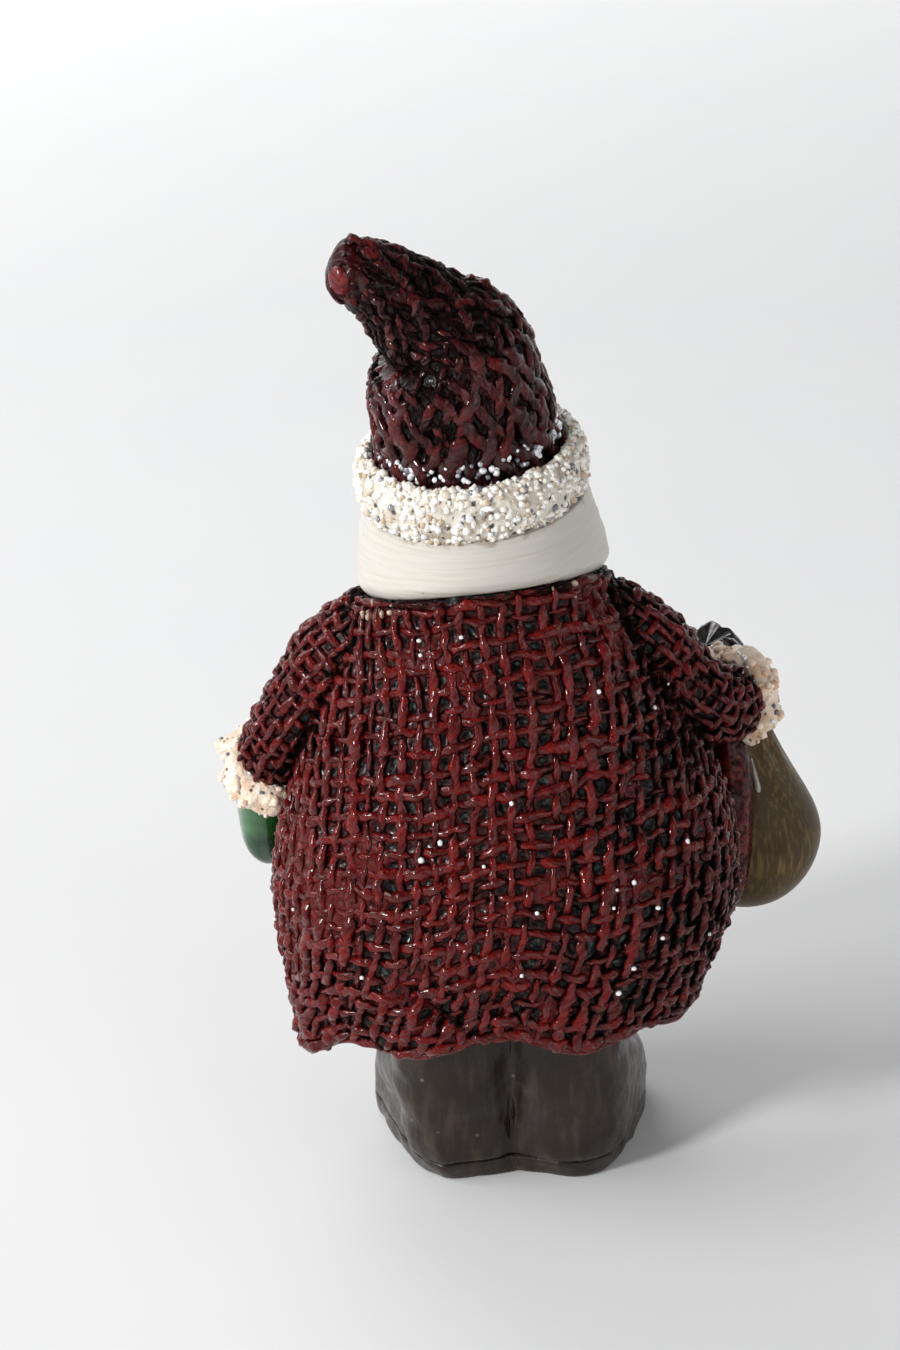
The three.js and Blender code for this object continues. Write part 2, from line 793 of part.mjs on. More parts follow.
function sack() {
  const bag = domedBody({
    start: 0,
    swell: sackBellyDrop,
    length: sackDrop,
    dome: sackDrop - sackBellyDrop,
    neck: sackNeckRadius,
    halfX: sackBellyRadius,
    halfY: sackBellyRadius,
    lean: -sackLean,
  });
  return carve(placed(bag.rotateX(Math.PI), gripFrame), ...sackKeepOuts());
}

function sackRuffle() {
  const rings = Array.from({ length: smallRings + 1 }, (_, i) => {
    const share = i / smallRings;
    return turnsOf(ruffleFolds * ruffleFoldFacets).map((turn) => {
      const flare = THREE.MathUtils.lerp(sackNeckRadius, ruffleRadius, share * share);
      const radius = flare + ruffleFoldDepth * share * Math.cos(ruffleFolds * turn);
      const x = ruffleLean * share + radius * Math.cos(turn);
      return new THREE.Vector3(x, radius * Math.sin(turn), ruffleRise * share);
    });
  });
  return carve(placed(skinOver(rings), gripFrame), ...sackKeepOuts());
}

function sackWeb() {
  const sleeveSide = armBody(rightArm, glueGap, cuffEnd);
  return carve(webBody(), coatKeepOut, sleeveSide, placed(cuffBand(rightArm, glueGap), rightArm.frame));
}

// Head: everything here is in the head's own leaning frame, with its origin at the chin line

const headFrame = new THREE.Matrix4()
  .makeTranslation(headShift, 0, collarZ + neckRise)
  .multiply(new THREE.Matrix4().makeRotationY(radians(headLean)))
  .multiply(new THREE.Matrix4().makeRotationX(-radians(headTilt)));
const coatAtHead = inFrame(coatKeepOut, headFrame);

const headStations = [
  [-neckDepth, neckRadius],
  [cheekHeight, cheekRadius],
  [brimBottom + hatSkirtLap, crownRadius],
  [brimTop, crownRadius],
  [crownHeight, crownTopRadius],
];
const headRadius = stationCurve(headStations);

function headBody(grow = 0) {
  const stations = headStations.map(([z, radius]) => [z, 0, 0, radius + grow, radius + grow]);
  return levelBody(stations, headRings, headFacets);
}

// A place on the face, `out` beyond the head's surface.
function facePoint(x, z, out) {
  const radius = headRadius(z)[0] + out;
  return new THREE.Vector3(x, -Math.sqrt(radius * radius - x * x), z);
}

function neckDowel(grow) {
  const foot = new THREE.Vector3(headShift, 0, collarZ - neckDowelReach);
  const head = new THREE.Vector3(headShift, 0, collarZ + neckDowelReach);
  return dowelBetween(foot, head, neckDowelRadius + grow, grow);
}

function nose(grow = 0) {
  return ball(facePoint(0, noseHeight, noseProud), noseRadius + grow);
}

function eye(side, grow = 0) {
  return ball(facePoint(side * eyeSpread, eyeHeight, 0), eyeRadius + grow);
}

// A lock of hair that tapers from its root to its tip along a bend, with rounded ends.
function lock(root, bend, tip, rootRadius, tipRadius, grow = 0) {
  const curve = new THREE.QuadraticBezierCurve3(root, bend, tip);
  const radiusAt = (share) => THREE.MathUtils.lerp(rootRadius, tipRadius, share) + grow;
  const rings = ringsAlong(curve, radiusAt, smallRings, smallFacets);
  const roundEnd = (ring, centre, direction, radius) =>
    Array.from({ length: lockEndRings }, (_, i) => {
      const turn = (Math.PI / 2) * ((i + 1) / (lockEndRings + domeFlat));
      return ring.map((point) =>
        centre.clone().lerp(point, Math.cos(turn)).addScaledVector(direction, radius * Math.sin(turn)),
      );
    });
  const start = roundEnd(rings[0], root, curve.getTangent(0).negate(), radiusAt(0)).reverse();
  const end = roundEnd(rings.at(-1), tip, curve.getTangent(1), radiusAt(1));
  return skinOver([...start, ...rings, ...end]);
}

function eyebrow(side, grow = 0) {
  const inner = eyeSpread - browLength / 2;
  return lock(
    facePoint(side * inner, browHeight, 0),
    facePoint(side * eyeSpread, browHeight + browArch, 0),
    facePoint(side * (inner + browLength), browHeight, 0),
    browRadius,
    browRadius,
    grow,
  );
}

function moustache(side, grow = 0) {
  const reach = beardRootReach + beardHalfDepth;
  return lock(
    new THREE.Vector3(side * moustacheRadius, -reach, moustacheHeight),
    new THREE.Vector3((side * moustacheLength) / 2, -reach, moustacheHeight),
    new THREE.Vector3(side * moustacheLength, moustacheSweep - reach, moustacheHeight - moustacheDroop),
    moustacheRadius,
    moustacheTipRadius,
    grow,
  );
}

const sides = [1, -1];

function head() {
  const sockets = sides.flatMap((side) => [eye(side, glueGap), eyebrow(side, glueGap)]);
  const pinHole = inFrame(neckDowel(dowelGap), headFrame);
  return carve(headBody(), coatAtHead, hatWall(), nose(glueGap), pinHole, ...sockets);
}

function hair() {
  const bell = levelBody(
    [
      [-hairDepth, 0, 0, hairHemRadius, hairHemRadius],
      [0, 0, 0, hairHemRadius, hairHemRadius],
      [brimBottom - glueGap, 0, 0, hairTopRadius, hairTopRadius],
    ],
    limbRings,
    headFacets,
  );
  const front = boxBetween(
    new THREE.Vector3(-farOff, -farOff, -farOff),
    new THREE.Vector3(farOff, -hairFront, farOff),
  );
  const sleeves = [leftArm, rightArm].map((arm) => inFrame(armBody(arm, glueGap, 0), headFrame));
  return carve(bell, headBody(glueGap), coatAtHead, front, ...sleeves);
}

function beard() {
  const body = levelBody(
    [
      [-beardDrop, 0, -beardTipReach, beardTipRadius, beardTipRadius],
      [-beardFullDrop, 0, -beardFullReach, beardFullHalfWidth, beardFullHalfDepth],
      [beardTop, 0, -beardRootReach, beardHalfWidth, beardHalfDepth],
    ],
    limbRings,
    limbFacets,
  );
  const behind = boxBetween(
    new THREE.Vector3(-farOff, -hairFront - glueGap, -farOff),
    new THREE.Vector3(farOff, farOff, farOff),
  );
  const mouth = boxBetween(
    new THREE.Vector3(-moustacheRadius, -farOff, moustacheHeight - moustacheRadius),
    new THREE.Vector3(moustacheRadius, 0, farOff),
  );
  const whiskers = sides.map((side) => moustache(side, glueGap));
  return carve(body, headBody(glueGap), coatAtHead, behind, mouth, nose(glueGap), ...whiskers);
}

function moustacheHalf(side) {
  return carve(moustache(side), otherSide(side), nose(glueGap), headBody(glueGap));
}

// Hat: one tapering tube along a bent spine, hollow up to the bend

const hatBottom = brimBottom + hatSkirtLap;
const hatRows = [
  [0, 0, hatBottom, hatRadius],
  [0, 0, brimTop, hatRadius],
  [hatShoulderReach, 0, brimTop + hatShoulderRise, hatShoulderRadius],
  [hatBendReach, 0, brimTop + hatBendRise, hatBendRadius],
  [hatTailReach, hatTailBack, brimTop + hatTailRise, hatTailRadius],
  [hatTipReach, hatTipBack, brimTop + hatTipRise, hatTipRadius],
];
const hatSpine = new THREE.CatmullRomCurve3(hatRows.map(([x, y, z]) => new THREE.Vector3(x, y, z)));
const hatRadiusAt = stationCurve(hatRows.map(([, , , radius], i) => [i / (hatRows.length - 1), radius]));
const hatBendRow = 3;
const hatHollowEnd = hatBendRow / (hatRows.length - 1); // the hollow stops at the bend

function hatBody(grow, end, rings) {
  return ringsAlong(hatSpine, (share) => hatRadiusAt(share)[0] + grow, rings, headFacets, 0, end);
}

// The rings of the hat's hollow, `grow` outside its wall, run out of the hat's open bottom.
function hatHollow(grow) {
  const rings = hatBody(grow - hatCloth, hatHollowEnd, limbRings);
  rings.unshift(movedRing(rings[0], axisZ, -overrun));
  return rings;
}

// The hat's cloth and the glue inside it, up to the bend.
function hatWall() {
  const inside = hatHollow(-glueGap);
  inside.push(movedRing(inside.at(-1), axisZ, overrun));
  return carve(skinOver(hatBody(0, hatHollowEnd, limbRings)), skinOver(inside));
}

const hatTipEnd = hatSpine.getPoint(1).addScaledVector(hatSpine.getTangent(1), tipBeadProud);

function hat() {
  const tipSeat = ball(hatTipEnd, tipBeadRadius + glueGap);
  return carve(skinOver(hatBody(0, 1, hatRings)), skinOver(hatHollow(0)), tipSeat);
}

// The cast crown that fills the hat above the head, up to the end of its hollow.
function hatForm() {
  const core = hatBody(-hatCloth - glueGap, hatHollowEnd, limbRings);
  core.push(movedRing(core.pop(), hatSpine.getTangent(hatHollowEnd), -glueGap));
  const below = boxBetween(
    new THREE.Vector3(-farOff, -farOff, -farOff),
    new THREE.Vector3(farOff, farOff, crownHeight + glueGap),
  );
  return carve(skinOver(core), below);
}

function hatBrim() {
  return rolledBand(hatRadius + glueGap, brimThickness, brimBottom, brimTop, headFacets);
}

// Finishes

function finish(color, roughness) {
  return new THREE.MeshStandardMaterial({ color, roughness, metalness: 0 });
}

const redBurlap = finish(0x6e1a1c, 0.35);
const snowPaste = finish(0xd9d2c4, 0.8);
const whiteHair = finish(0xe2ddd0, 0.6);
const skin = finish(0xd9a283, 0.5);
const rosySkin = finish(0xc9735f, 0.5);
const blackEye = finish(0x15120f, 0.2);
const greenMitten = finish(0x1f4a2c, 0.3);
const umberBoot = finish(0x3a322c, 0.5);
const oliveSack = finish(0x5f5233, 0.55);
const blackRuffle = finish(0x1b1a18, 0.4);
const redGloss = finish(0x8e1b1d, 0.2);
const castResin = finish(0xb9ac98, 0.7);
const beechPin = finish(0xb98d5c, 0.65);

// Assembly

function piece(name, geometry, material) {
  const mesh = new THREE.Mesh(geometry, material);
  mesh.name = name;
  return mesh;
}

function groupAt(matrix, ...pieces) {
  const group = new THREE.Group();
  matrix.decompose(group.position, group.quaternion, group.scale);
  return group.add(...pieces);
}

const figurine = new THREE.Group();

const armHoles = [leftArm, rightArm].map((arm) => armDowel(arm, dowelGap));
const legHoles = sides.map((side) => legDowel(side, dowelGap));
figurine.add(
  piece("torso_core", torso(neckDowel(dowelGap), ...armHoles, ...legHoles), castResin),
  piece("coat", coatShell(...armHoles), redBurlap),
  piece("neck_dowel", neckDowel(0), beechPin),
);

for (const [label, side] of [["left", 1], ["right", -1]]) {
  figurine.add(
    piece(`boot_${label}`, boot(side), umberBoot),
    piece(`sole_${label}`, sole(side), umberBoot),
    piece(`leg_dowel_${label}`, legDowel(side, 0), beechPin),
  );
}

for (const [label, arm, hand] of [["left", leftArm, mitten], ["right", rightArm, fist]]) {
  figurine.add(
    piece(`sleeve_${label}`, sleeve(arm), redBurlap),
    piece(`arm_core_${label}`, armCore(arm), castResin),
    piece(`arm_dowel_${label}`, armDowel(arm, 0), beechPin),
    groupAt(arm.frame, piece(`cuff_${label}`, cuff(arm), snowPaste)),
    groupAt(arm.handFrame, piece(`mitten_${label}`, hand(arm), greenMitten)),
  );
}

figurine.add(
  piece("sack", sack(), oliveSack),
  piece("sack_ruffle", sackRuffle(), blackRuffle),
  piece("sack_pin", sackPin(0), beechPin),
  piece("sack_web", sackWeb(), redGloss),
);

const headPieces = groupAt(
  headFrame,
  piece("head", head(), skin),
  piece("hair", hair(), whiteHair),
  piece("beard", beard(), whiteHair),
  piece("nose", nose(), rosySkin),
  piece("hat_brim", hatBrim(), snowPaste),
  piece("hat", hat(), redBurlap),
  piece("hat_form", hatForm(), castResin),
  piece("hat_tip", ball(hatTipEnd, tipBeadRadius), redGloss),
);
for (const [label, side] of [["left", 1], ["right", -1]]) {
  headPieces.add(
    piece(`eye_${label}`, eye(side), blackEye),
    piece(`eyebrow_${label}`, eyebrow(side), whiteHair),
    piece(`moustache_${label}`, moustacheHalf(side), whiteHair),
  );
}
figurine.add(headPieces);

// The origin goes to the middle of the underside of the whole figurine's box.
const box = new THREE.Box3().setFromObject(figurine, true);
const middle = box.getCenter(new THREE.Vector3());
figurine.position.set(-middle.x, -middle.y, -box.min.z);

export default figurine;
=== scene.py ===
import math

import bpy
import numpy as np
from mathutils import Matrix, Quaternion, Vector
from mathutils.kdtree import KDTree


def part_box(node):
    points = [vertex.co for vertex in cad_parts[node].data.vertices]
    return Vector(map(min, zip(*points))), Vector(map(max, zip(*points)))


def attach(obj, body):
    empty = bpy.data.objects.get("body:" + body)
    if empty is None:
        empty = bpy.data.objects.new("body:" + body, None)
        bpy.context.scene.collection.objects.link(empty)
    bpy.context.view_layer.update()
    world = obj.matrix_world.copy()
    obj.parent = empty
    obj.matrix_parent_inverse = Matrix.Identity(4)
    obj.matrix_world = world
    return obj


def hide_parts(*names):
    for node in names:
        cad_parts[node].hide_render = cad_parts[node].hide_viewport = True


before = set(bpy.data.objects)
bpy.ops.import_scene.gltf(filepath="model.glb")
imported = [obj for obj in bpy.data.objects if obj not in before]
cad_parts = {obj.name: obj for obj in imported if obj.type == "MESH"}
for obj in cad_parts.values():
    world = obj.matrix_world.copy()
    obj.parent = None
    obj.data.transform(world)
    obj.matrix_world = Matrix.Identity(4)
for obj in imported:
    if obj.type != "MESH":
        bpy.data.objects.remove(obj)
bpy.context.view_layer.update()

# All sizes below are in millimetres, measured from the figure's middle on the ground, facing -Y.
mm = 0.001
fullTurn = 2 * np.pi
signs = {"left": 1, "right": -1}
rng = np.random.default_rng(12)
legMiddles = [np.add(*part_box("leg_dowel_" + side)) / (2 * mm) for side in signs]
legSetback = 4.5
figureSpot = (legMiddles[0] + legMiddles[1]) / 2 * (1, 1, 0) - (0, legSetback, 0)


# Tools for numbers

def bump(value):
    return np.exp(-np.square(value))


def ramp(value, low, high):
    share = np.clip((value - low) / (high - low), 0, 1)
    return share * share * (3 - 2 * share)


def nearEdge(distance, reach):  # 1 at an edge, down to 0 this far from it
    return np.square(np.clip(1 - distance / reach, 0, 1))


def domed(share, power):  # 1, rounded down to 0 where the share comes to 1
    return np.sqrt(np.clip(1 - np.abs(share) ** power, 0, 1))


def atPoles(v):
    return (v < 0.001) | (v > 0.999)


def unit(vectors):
    return vectors / np.maximum(np.linalg.norm(vectors, axis=-1, keepdims=True), 1e-9)


def runLength(line, axis):  # how far along a line each of its points is
    steps = np.diff(line, axis=axis, prepend=line.take([0], axis))
    return np.cumsum(np.linalg.norm(steps, axis=-1), axis=axis)


def stationCurve(rows):  # smooth values between rows of (place, value, value ...)
    rows = np.array(rows, float)
    places, values = rows[:, 0], rows[:, 1:]
    slopes = np.gradient(values, places, axis=0)

    def at(place):
        place = np.clip(np.asarray(place, float), places[0], places[-1])
        i = np.clip(np.searchsorted(places, place, side="right") - 1, 0, len(places) - 2)
        gap = (places[i + 1] - places[i])[..., None]
        t = (place - places[i])[..., None] / gap
        start = (2 * t**3 - 3 * t**2 + 1) * values[i] + (t**3 - 2 * t**2 + t) * gap * slopes[i]
        end = (3 * t**2 - 2 * t**3) * values[i + 1] + (t**3 - t**2) * gap * slopes[i + 1]
        return np.moveaxis(start + end, -1, 0)

    return at


def lumps(points, size, seed):  # soft random hills about this size, from -1 to 1
    table = np.random.default_rng(seed).uniform(-1, 1, (16, 16, 16))
    places = np.asarray(points, float) / size
    cell = np.floor(places).astype(int)
    t = places - cell
    t = t * t * (3 - 2 * t)
    total = 0
    for corner in np.ndindex(2, 2, 2):
        weight = np.prod(np.where(corner, t, 1 - t), axis=-1)
        index = (cell + corner) % 16
        total = total + weight * table[index[..., 0], index[..., 1], index[..., 2]]
    return total


def stacked(*parts):
    return np.stack(np.broadcast_arrays(*parts), axis=-1)


def onRing(turn, radius, z):
    return stacked(radius * np.cos(turn), radius * np.sin(turn), z)


def onBall(u, v):  # a ball of radius 1, from pole to pole along v
    return onRing(fullTurn * u, np.sin(np.pi * v), np.cos(np.pi * v))


def spoke(across, over, turn):  # the way out from a tube's middle line
    return across * np.cos(turn)[..., None] + over * np.sin(turn)[..., None]


# Tools for meshes

def clearSelection():
    bpy.ops.object.select_all(action="DESELECT")


def makeActive(piece):
    clearSelection()
    piece.select_set(True)
    bpy.context.view_layer.objects.active = piece


def named(name):  # the piece that was just added
    piece = bpy.context.object
    piece.name = piece.data.name = name
    return piece


def readPoints(piece):
    points = np.empty(len(piece.data.vertices) * 3)
    piece.data.vertices.foreach_get("co", points)
    return points.reshape(-1, 3)


def writePoints(piece, points):
    piece.data.vertices.foreach_set("co", ((points + figureSpot) * mm).ravel())
    piece.data.update()


def paint(piece, name, values):  # a number or a vector for each point, for the materials to read
    values = np.asarray(values, np.float32)
    kind, field = ("FLOAT", "value") if values.ndim == 1 else ("FLOAT_VECTOR", "vector")
    layer = piece.data.attributes.new(name, kind, "POINT")
    layer.data.foreach_set(field, values.ravel())


def applied(piece, kind, **settings):
    makeActive(piece)
    modifier = piece.modifiers.new(kind.title(), kind)
    for key, value in settings.items():
        setattr(modifier, key, value)
    bpy.ops.object.modifier_apply(modifier=modifier.name)
    return piece


def repeated(piece, count):  # copies in one mesh, each to be given its own place
    return applied(piece, "ARRAY", count=count, use_relative_offset=False, use_constant_offset=True)


def sealed(piece):  # closes seams and poles, and turns the faces outwards
    makeActive(piece)
    bpy.ops.object.mode_set(mode="EDIT")
    bpy.ops.mesh.select_all(action="SELECT")
    bpy.ops.mesh.remove_doubles(threshold=0.004 * mm)
    bpy.ops.mesh.normals_make_consistent(inside=False)
    bpy.ops.object.mode_set(mode="OBJECT")
    bpy.ops.object.shade_smooth()
    return piece


def addGrid(name, across, along, size=1):  # a flat sheet, and the share across and along it of each point
    clearSelection()
    bpy.ops.mesh.primitive_grid_add(x_subdivisions=across, y_subdivisions=along, size=size)
    piece = named(name)
    flat = readPoints(piece) / size + 0.5
    return piece, flat[:, 0], flat[:, 1]


def wrapSheet(name, across, along, place, **layers):  # a sheet bent to place(across, along)
    piece, u, v = addGrid(name, across, along)
    points = place(u, v)
    writePoints(piece, points)
    for layer, value in layers.items():
        paint(piece, layer, value(u, v, points))
    return sealed(piece)


def woundLayer(radius, length):  # a layer for the strokes of a brush along a tube
    return lambda u, v, points: onRing(fullTurn * u, radius, length * v)


def dressed(piece, material, slot, *nodes):  # finish, body and the CAD nodes that it stands for
    piece.data.materials.clear()
    piece.data.materials.append(material)
    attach(piece, "root")
    if nodes:
        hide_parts(*nodes)
    return piece


def scatter(name, spots, size, detail, flatten):  # small stones of uneven shape
    sizes = rng.uniform(*size, len(spots))
    clearSelection()
    bpy.ops.mesh.primitive_ico_sphere_add(subdivisions=detail, radius=1)
    piece = named(name)
    stone = readPoints(piece)
    repeated(piece, len(spots))
    stretch = 1 + rng.uniform(-flatten, flatten, (len(spots), 1, 3))
    points = spots[:, None] + stone * stretch * sizes[:, None, None]
    writePoints(piece, points.reshape(-1, 3))
    paint(piece, "tone", np.repeat(rng.random(len(spots)), len(stone)))
    bpy.ops.object.shade_smooth()
    return piece


# Tools for materials

def setInputs(tree, node, inputs):  # links sockets, and sets plain values, colours as red, green and blue
    for key, value in inputs.items():
        socket = node.inputs[key]
        if isinstance(value, bpy.types.NodeSocket):
            tree.links.new(value, socket)
        else:
            socket.default_value = (*value, 1) if socket.type == "RGBA" else value


def addNode(tree, kind, inputs=None, **settings):
    made = tree.nodes.new("ShaderNode" + kind)
    for key, value in settings.items():
        setattr(made, key, value)
    setInputs(tree, made, inputs or {})
    return made


def useGroup(tree, group, inputs):
    return addNode(tree, "Group", inputs, node_tree=group).outputs


def math2(tree, operation, first, second):
    return addNode(tree, "Math", {0: first, 1: second}, operation=operation).outputs[0]


def remap(tree, value, low, high, start=0.0, end=1.0):
    inputs = {"Value": value, "From Min": low, "From Max": high, "To Min": start, "To Max": end}
    return addNode(tree, "MapRange", inputs, interpolation_type="SMOOTHSTEP").outputs["Result"]


def mixColour(tree, share, first, second):
    return addNode(tree, "Mix", {0: share, 6: first, 7: second}, data_type="RGBA").outputs[2]


def noise(tree, spot, scale, detail):
    return addNode(tree, "TexNoise", {"Vector": spot, "Scale": scale, "Detail": detail}).outputs["Fac"]


def objectPlace(tree):  # the place on the figure, in millimetres
    spot = addNode(tree, "TexCoord").outputs["Object"]
    return addNode(tree, "VectorMath", {0: spot, "Scale": 1 / mm}, operation="SCALE").outputs[0]


def layerValue(tree, name):
    return addNode(tree, "Attribute", attribute_name=name).outputs["Fac"]


def layerVector(tree, name):
    return addNode(tree, "Attribute", attribute_name=name).outputs["Vector"]


def startMaterial(name, roughness=0.5, coat=0.0, coatRoughness=0.1, specular=0.5):
    material = bpy.data.materials.new(name)
    material.use_nodes = True
    tree = material.node_tree
    shader = tree.nodes["Principled BSDF"]
    setInputs(tree, shader, {
        "Roughness": roughness, "Coat Weight": coat, "Coat Roughness": coatRoughness,
        "Specular IOR Level": specular,
    })
    return material, tree, shader


def join(tree, shader, colour, roughness=None, height=None, strength=0.4, distance=0.2):
    sockets = {"Base Color": colour}
    if roughness is not None:
        sockets["Roughness"] = roughness
    if height is not None:
        lift = {"Height": height, "Strength": strength, "Distance": distance * mm}
        sockets["Normal"] = addNode(tree, "Bump", lift).outputs[0]
    setInputs(tree, shader, sockets)


def newGroup(name, inputs, outputs):
    group = bpy.data.node_groups.new(name, "ShaderNodeTree")
    for way, sockets in (("INPUT", inputs), ("OUTPUT", outputs)):
        for label, kind in sockets.items():
            group.interface.new_socket(label, in_out=way, socket_type="NodeSocket" + kind)
    start = group.nodes.new("NodeGroupInput").outputs
    end = group.nodes.new("NodeGroupOutput").inputs
    return group, start, end


def closeGroup(tree, end, **outputs):
    for label, socket in outputs.items():
        tree.links.new(socket, end[label])


# Paint with a darker wash left in its hollows: Cover says how much of the paint shows.
washedPaint, start, end = newGroup(
    "washed paint",
    {"Vector": "Vector", "Paint": "Color", "Light Paint": "Color", "Wash": "Color", "Cover": "Float",
     "Scale": "Float"},
    {"Color": "Color", "Roughness": "Float", "Height": "Float", "Gloss": "Float"},
)
tree = washedPaint
broad = noise(tree, start["Vector"], start["Scale"], 3.0)
fine = noise(tree, start["Vector"], math2(tree, "MULTIPLY", start["Scale"], 4.0), 4.0)
patch = noise(tree, start["Vector"], math2(tree, "MULTIPLY", start["Scale"], 2.2), 1.0)
painted = mixColour(tree, remap(tree, broad, 0.38, 0.68), start["Paint"], start["Light Paint"])
uneven = math2(tree, "MULTIPLY", math2(tree, "SUBTRACT", fine, 0.5), 1.2)
cover = remap(tree, math2(tree, "ADD", start["Cover"], uneven), 0.18, 0.62)
closeGroup(
    tree, end, Color=mixColour(tree, cover, start["Wash"], painted), Height=fine,
    Roughness=remap(tree, fine, 0.3, 0.75, 0.2, 0.46),
    Gloss=math2(tree, "MULTIPLY", cover, remap(tree, patch, 0.4, 0.6, 0.35, 1.0)),
)

# Small round pits: a mask for a colour painted in them, and their dents.
pitMarks, start, end = newGroup(
    "pit marks",
    {"Vector": "Vector", "Scale": "Float", "Reach": "Float"},
    {"Mask": "Float", "Height": "Float"},
)
tree = pitMarks
cells = addNode(tree, "TexVoronoi", {"Vector": start["Vector"], "Scale": start["Scale"]})
near = math2(tree, "DIVIDE", cells.outputs["Distance"], start["Reach"])
patchy = remap(tree, noise(tree, start["Vector"], start["Scale"], 1.0), 0.5, 0.58)
mask = math2(tree, "MULTIPLY", remap(tree, near, 1.0, 0.45), patchy)
closeGroup(tree, end, Mask=mask, Height=math2(tree, "SUBTRACT", 1.0, mask))

# Long strokes of a dry brush along the z of its vector.
brushLines, start, end = newGroup(
    "brush lines",
    {"Vector": "Vector", "Scale": "Float", "Length": "Float"},
    {"Mask": "Float", "Height": "Float"},
)
tree = brushLines
parts = addNode(tree, "SeparateXYZ", {0: start["Vector"]}).outputs
drawn = math2(tree, "DIVIDE", parts["Z"], start["Length"])
strokes = addNode(tree, "CombineXYZ", {"X": parts["X"], "Y": parts["Y"], "Z": drawn}).outputs[0]
streak = noise(tree, strokes, start["Scale"], 4.0)
closeGroup(tree, end, Mask=remap(tree, streak, 0.46, 0.68), Height=streak)


def washed(tree, look, spot, cover):
    return useGroup(tree, washedPaint, {
        "Vector": spot, "Paint": look["paint"], "Light Paint": look["light"], "Wash": look["wash"],
        "Cover": cover, "Scale": look["scale"],
    })


def pitted(tree, spot, scale, reach):
    return useGroup(tree, pitMarks, {"Vector": spot, "Scale": scale, "Reach": reach})


def brushed(tree, spot, scale, length):
    return useGroup(tree, brushLines, {"Vector": spot, "Scale": scale, "Length": length})


def paintedMaterial(name, look, spot=None, cover=None):  # a washed paint all over a piece
    material, tree, shader = startMaterial(name, coatRoughness=0.07, specular=look.get("specular", 0.2))
    shader.inputs["Coat IOR"].default_value = look.get("coatIndex", 1.5)
    spot = spot(tree) if spot else objectPlace(tree)
    made = washed(tree, look, spot, cover(tree) if cover else look["cover"])
    rough = math2(tree, "ADD", made["Roughness"], look.get("dull", 0.0))
    height = made["Height"]
    if "grit" in look:
        height = math2(tree, "ADD", height, noise(tree, objectPlace(tree), look["grit"], 3.0))
    join(tree, shader, made["Color"], rough, height, look.get("relief", 0.3), look.get("depth", 0.25))
    gloss = math2(tree, "MULTIPLY", made["Gloss"], look["coat"])
    tree.links.new(gloss, shader.inputs["Coat Weight"])
    return material


def mottledMaterial(name, look):  # two colours in soft patches
    material, tree, shader = startMaterial(name, look["rough"], look["coat"], specular=look["specular"])
    mottle = noise(tree, objectPlace(tree), look["scale"], look["detail"])
    colour = mixColour(tree, remap(tree, mottle, *look["edge"]), look["first"], look["second"])
    join(tree, shader, colour, None, mottle if "relief" in look else None, *look.get("relief", ()))
    return material


print("tools ready")


# Burlap: strands that go over and under each other, each a closed tube

strandSides = 9


def skinFacing(skin, around, share):  # which way the cloth faces
    stepAround, stepShare = 0.05, 0.002
    across = skin(around + stepAround, share, 0) - skin(around - stepAround, share, 0)
    upward = skin(around, share + stepShare, 0) - skin(around, share - stepShare, 0)
    facing = unit(np.cross(upward, across))
    outward = skin(around, share, 0.2) - skin(around, share, 0)
    return facing * np.sign(np.sum(facing * outward))


def layStrands(name, skin, around, share, over, look, seed, wash):
    count, steps = around.shape
    index = np.arange(count)[:, None] + np.zeros((1, steps))
    first = skin(around, share, 0)
    run = runLength(first, 1)
    place = stacked(run, index * 37.7, 0 * run)
    facing = skinFacing(skin, around, share)
    ahead = unit(np.gradient(first, axis=1))
    sideways = unit(np.cross(ahead, facing))

    # thinner where the strands crowd, and closed at both tips
    each = np.random.default_rng(seed)
    thick = each.uniform(1 - look["uneven"], 1 + look["uneven"], (count, 1))
    thick = thick * (1 + 0.32 * lumps(place, 5, seed) + 0.2 * lumps(place, 1.4, seed + 1))
    spacing = np.linalg.norm(np.gradient(first, axis=0), axis=-1)
    thick = thick * np.clip(spacing / look["pitch"], 0.35, 1.1)
    tip = np.minimum(run, run[:, -1:] - run)
    thick = thick * np.sqrt(np.clip(tip / look["tip"], 0, 1))
    sway = look["sway"] * lumps(place, 4.5, seed + 2) + 0.4 * look["sway"] * lumps(place, 1.6, seed + 3)
    lift = look["base"] + look["amp"] * over + look["rough"] * lumps(place, 3, seed + 4)
    centre = first + sideways * sway[..., None] + facing * lift[..., None]

    piece, u, v = addGrid(name, strandSides, steps - 1)
    repeated(piece, count)
    turn = fullTurn * u
    step = np.rint(v * (steps - 1)).astype(int)
    wide = look["halfWidth"] * thick[:, step] * np.cos(turn)
    high = look["halfHeight"] * np.minimum(thick[:, step], 1.25) * np.sin(turn)
    knots = sideways[:, step] * wide[..., None] + facing[:, step] * high[..., None]
    points = centre[:, step] + knots
    swollen = 1 + look["knots"] * (lumps(points, 1.0, seed + 5) + 0.7 * lumps(points, 0.55, seed + 6))
    points = (centre[:, step] + knots * swollen[..., None]).reshape(-1, 3)
    writePoints(piece, points)
    rise = lift[:, step] + high * swollen
    ply = turn + 1.1 * run[:, step]
    fibre = stacked(0.6 * np.cos(ply), 0.6 * np.sin(ply) + index[:, step] * 9.1, run[:, step])
    paint(piece, "rise", ramp(rise, look["floor"], look["top"]).ravel())
    paint(piece, "fibre", fibre.reshape(-1, 3))
    # the wash layer: a dark wash in patches, with the painted shade and light of the function passed in
    paint(piece, "wash", wash(points))
    return sealed(piece), centre


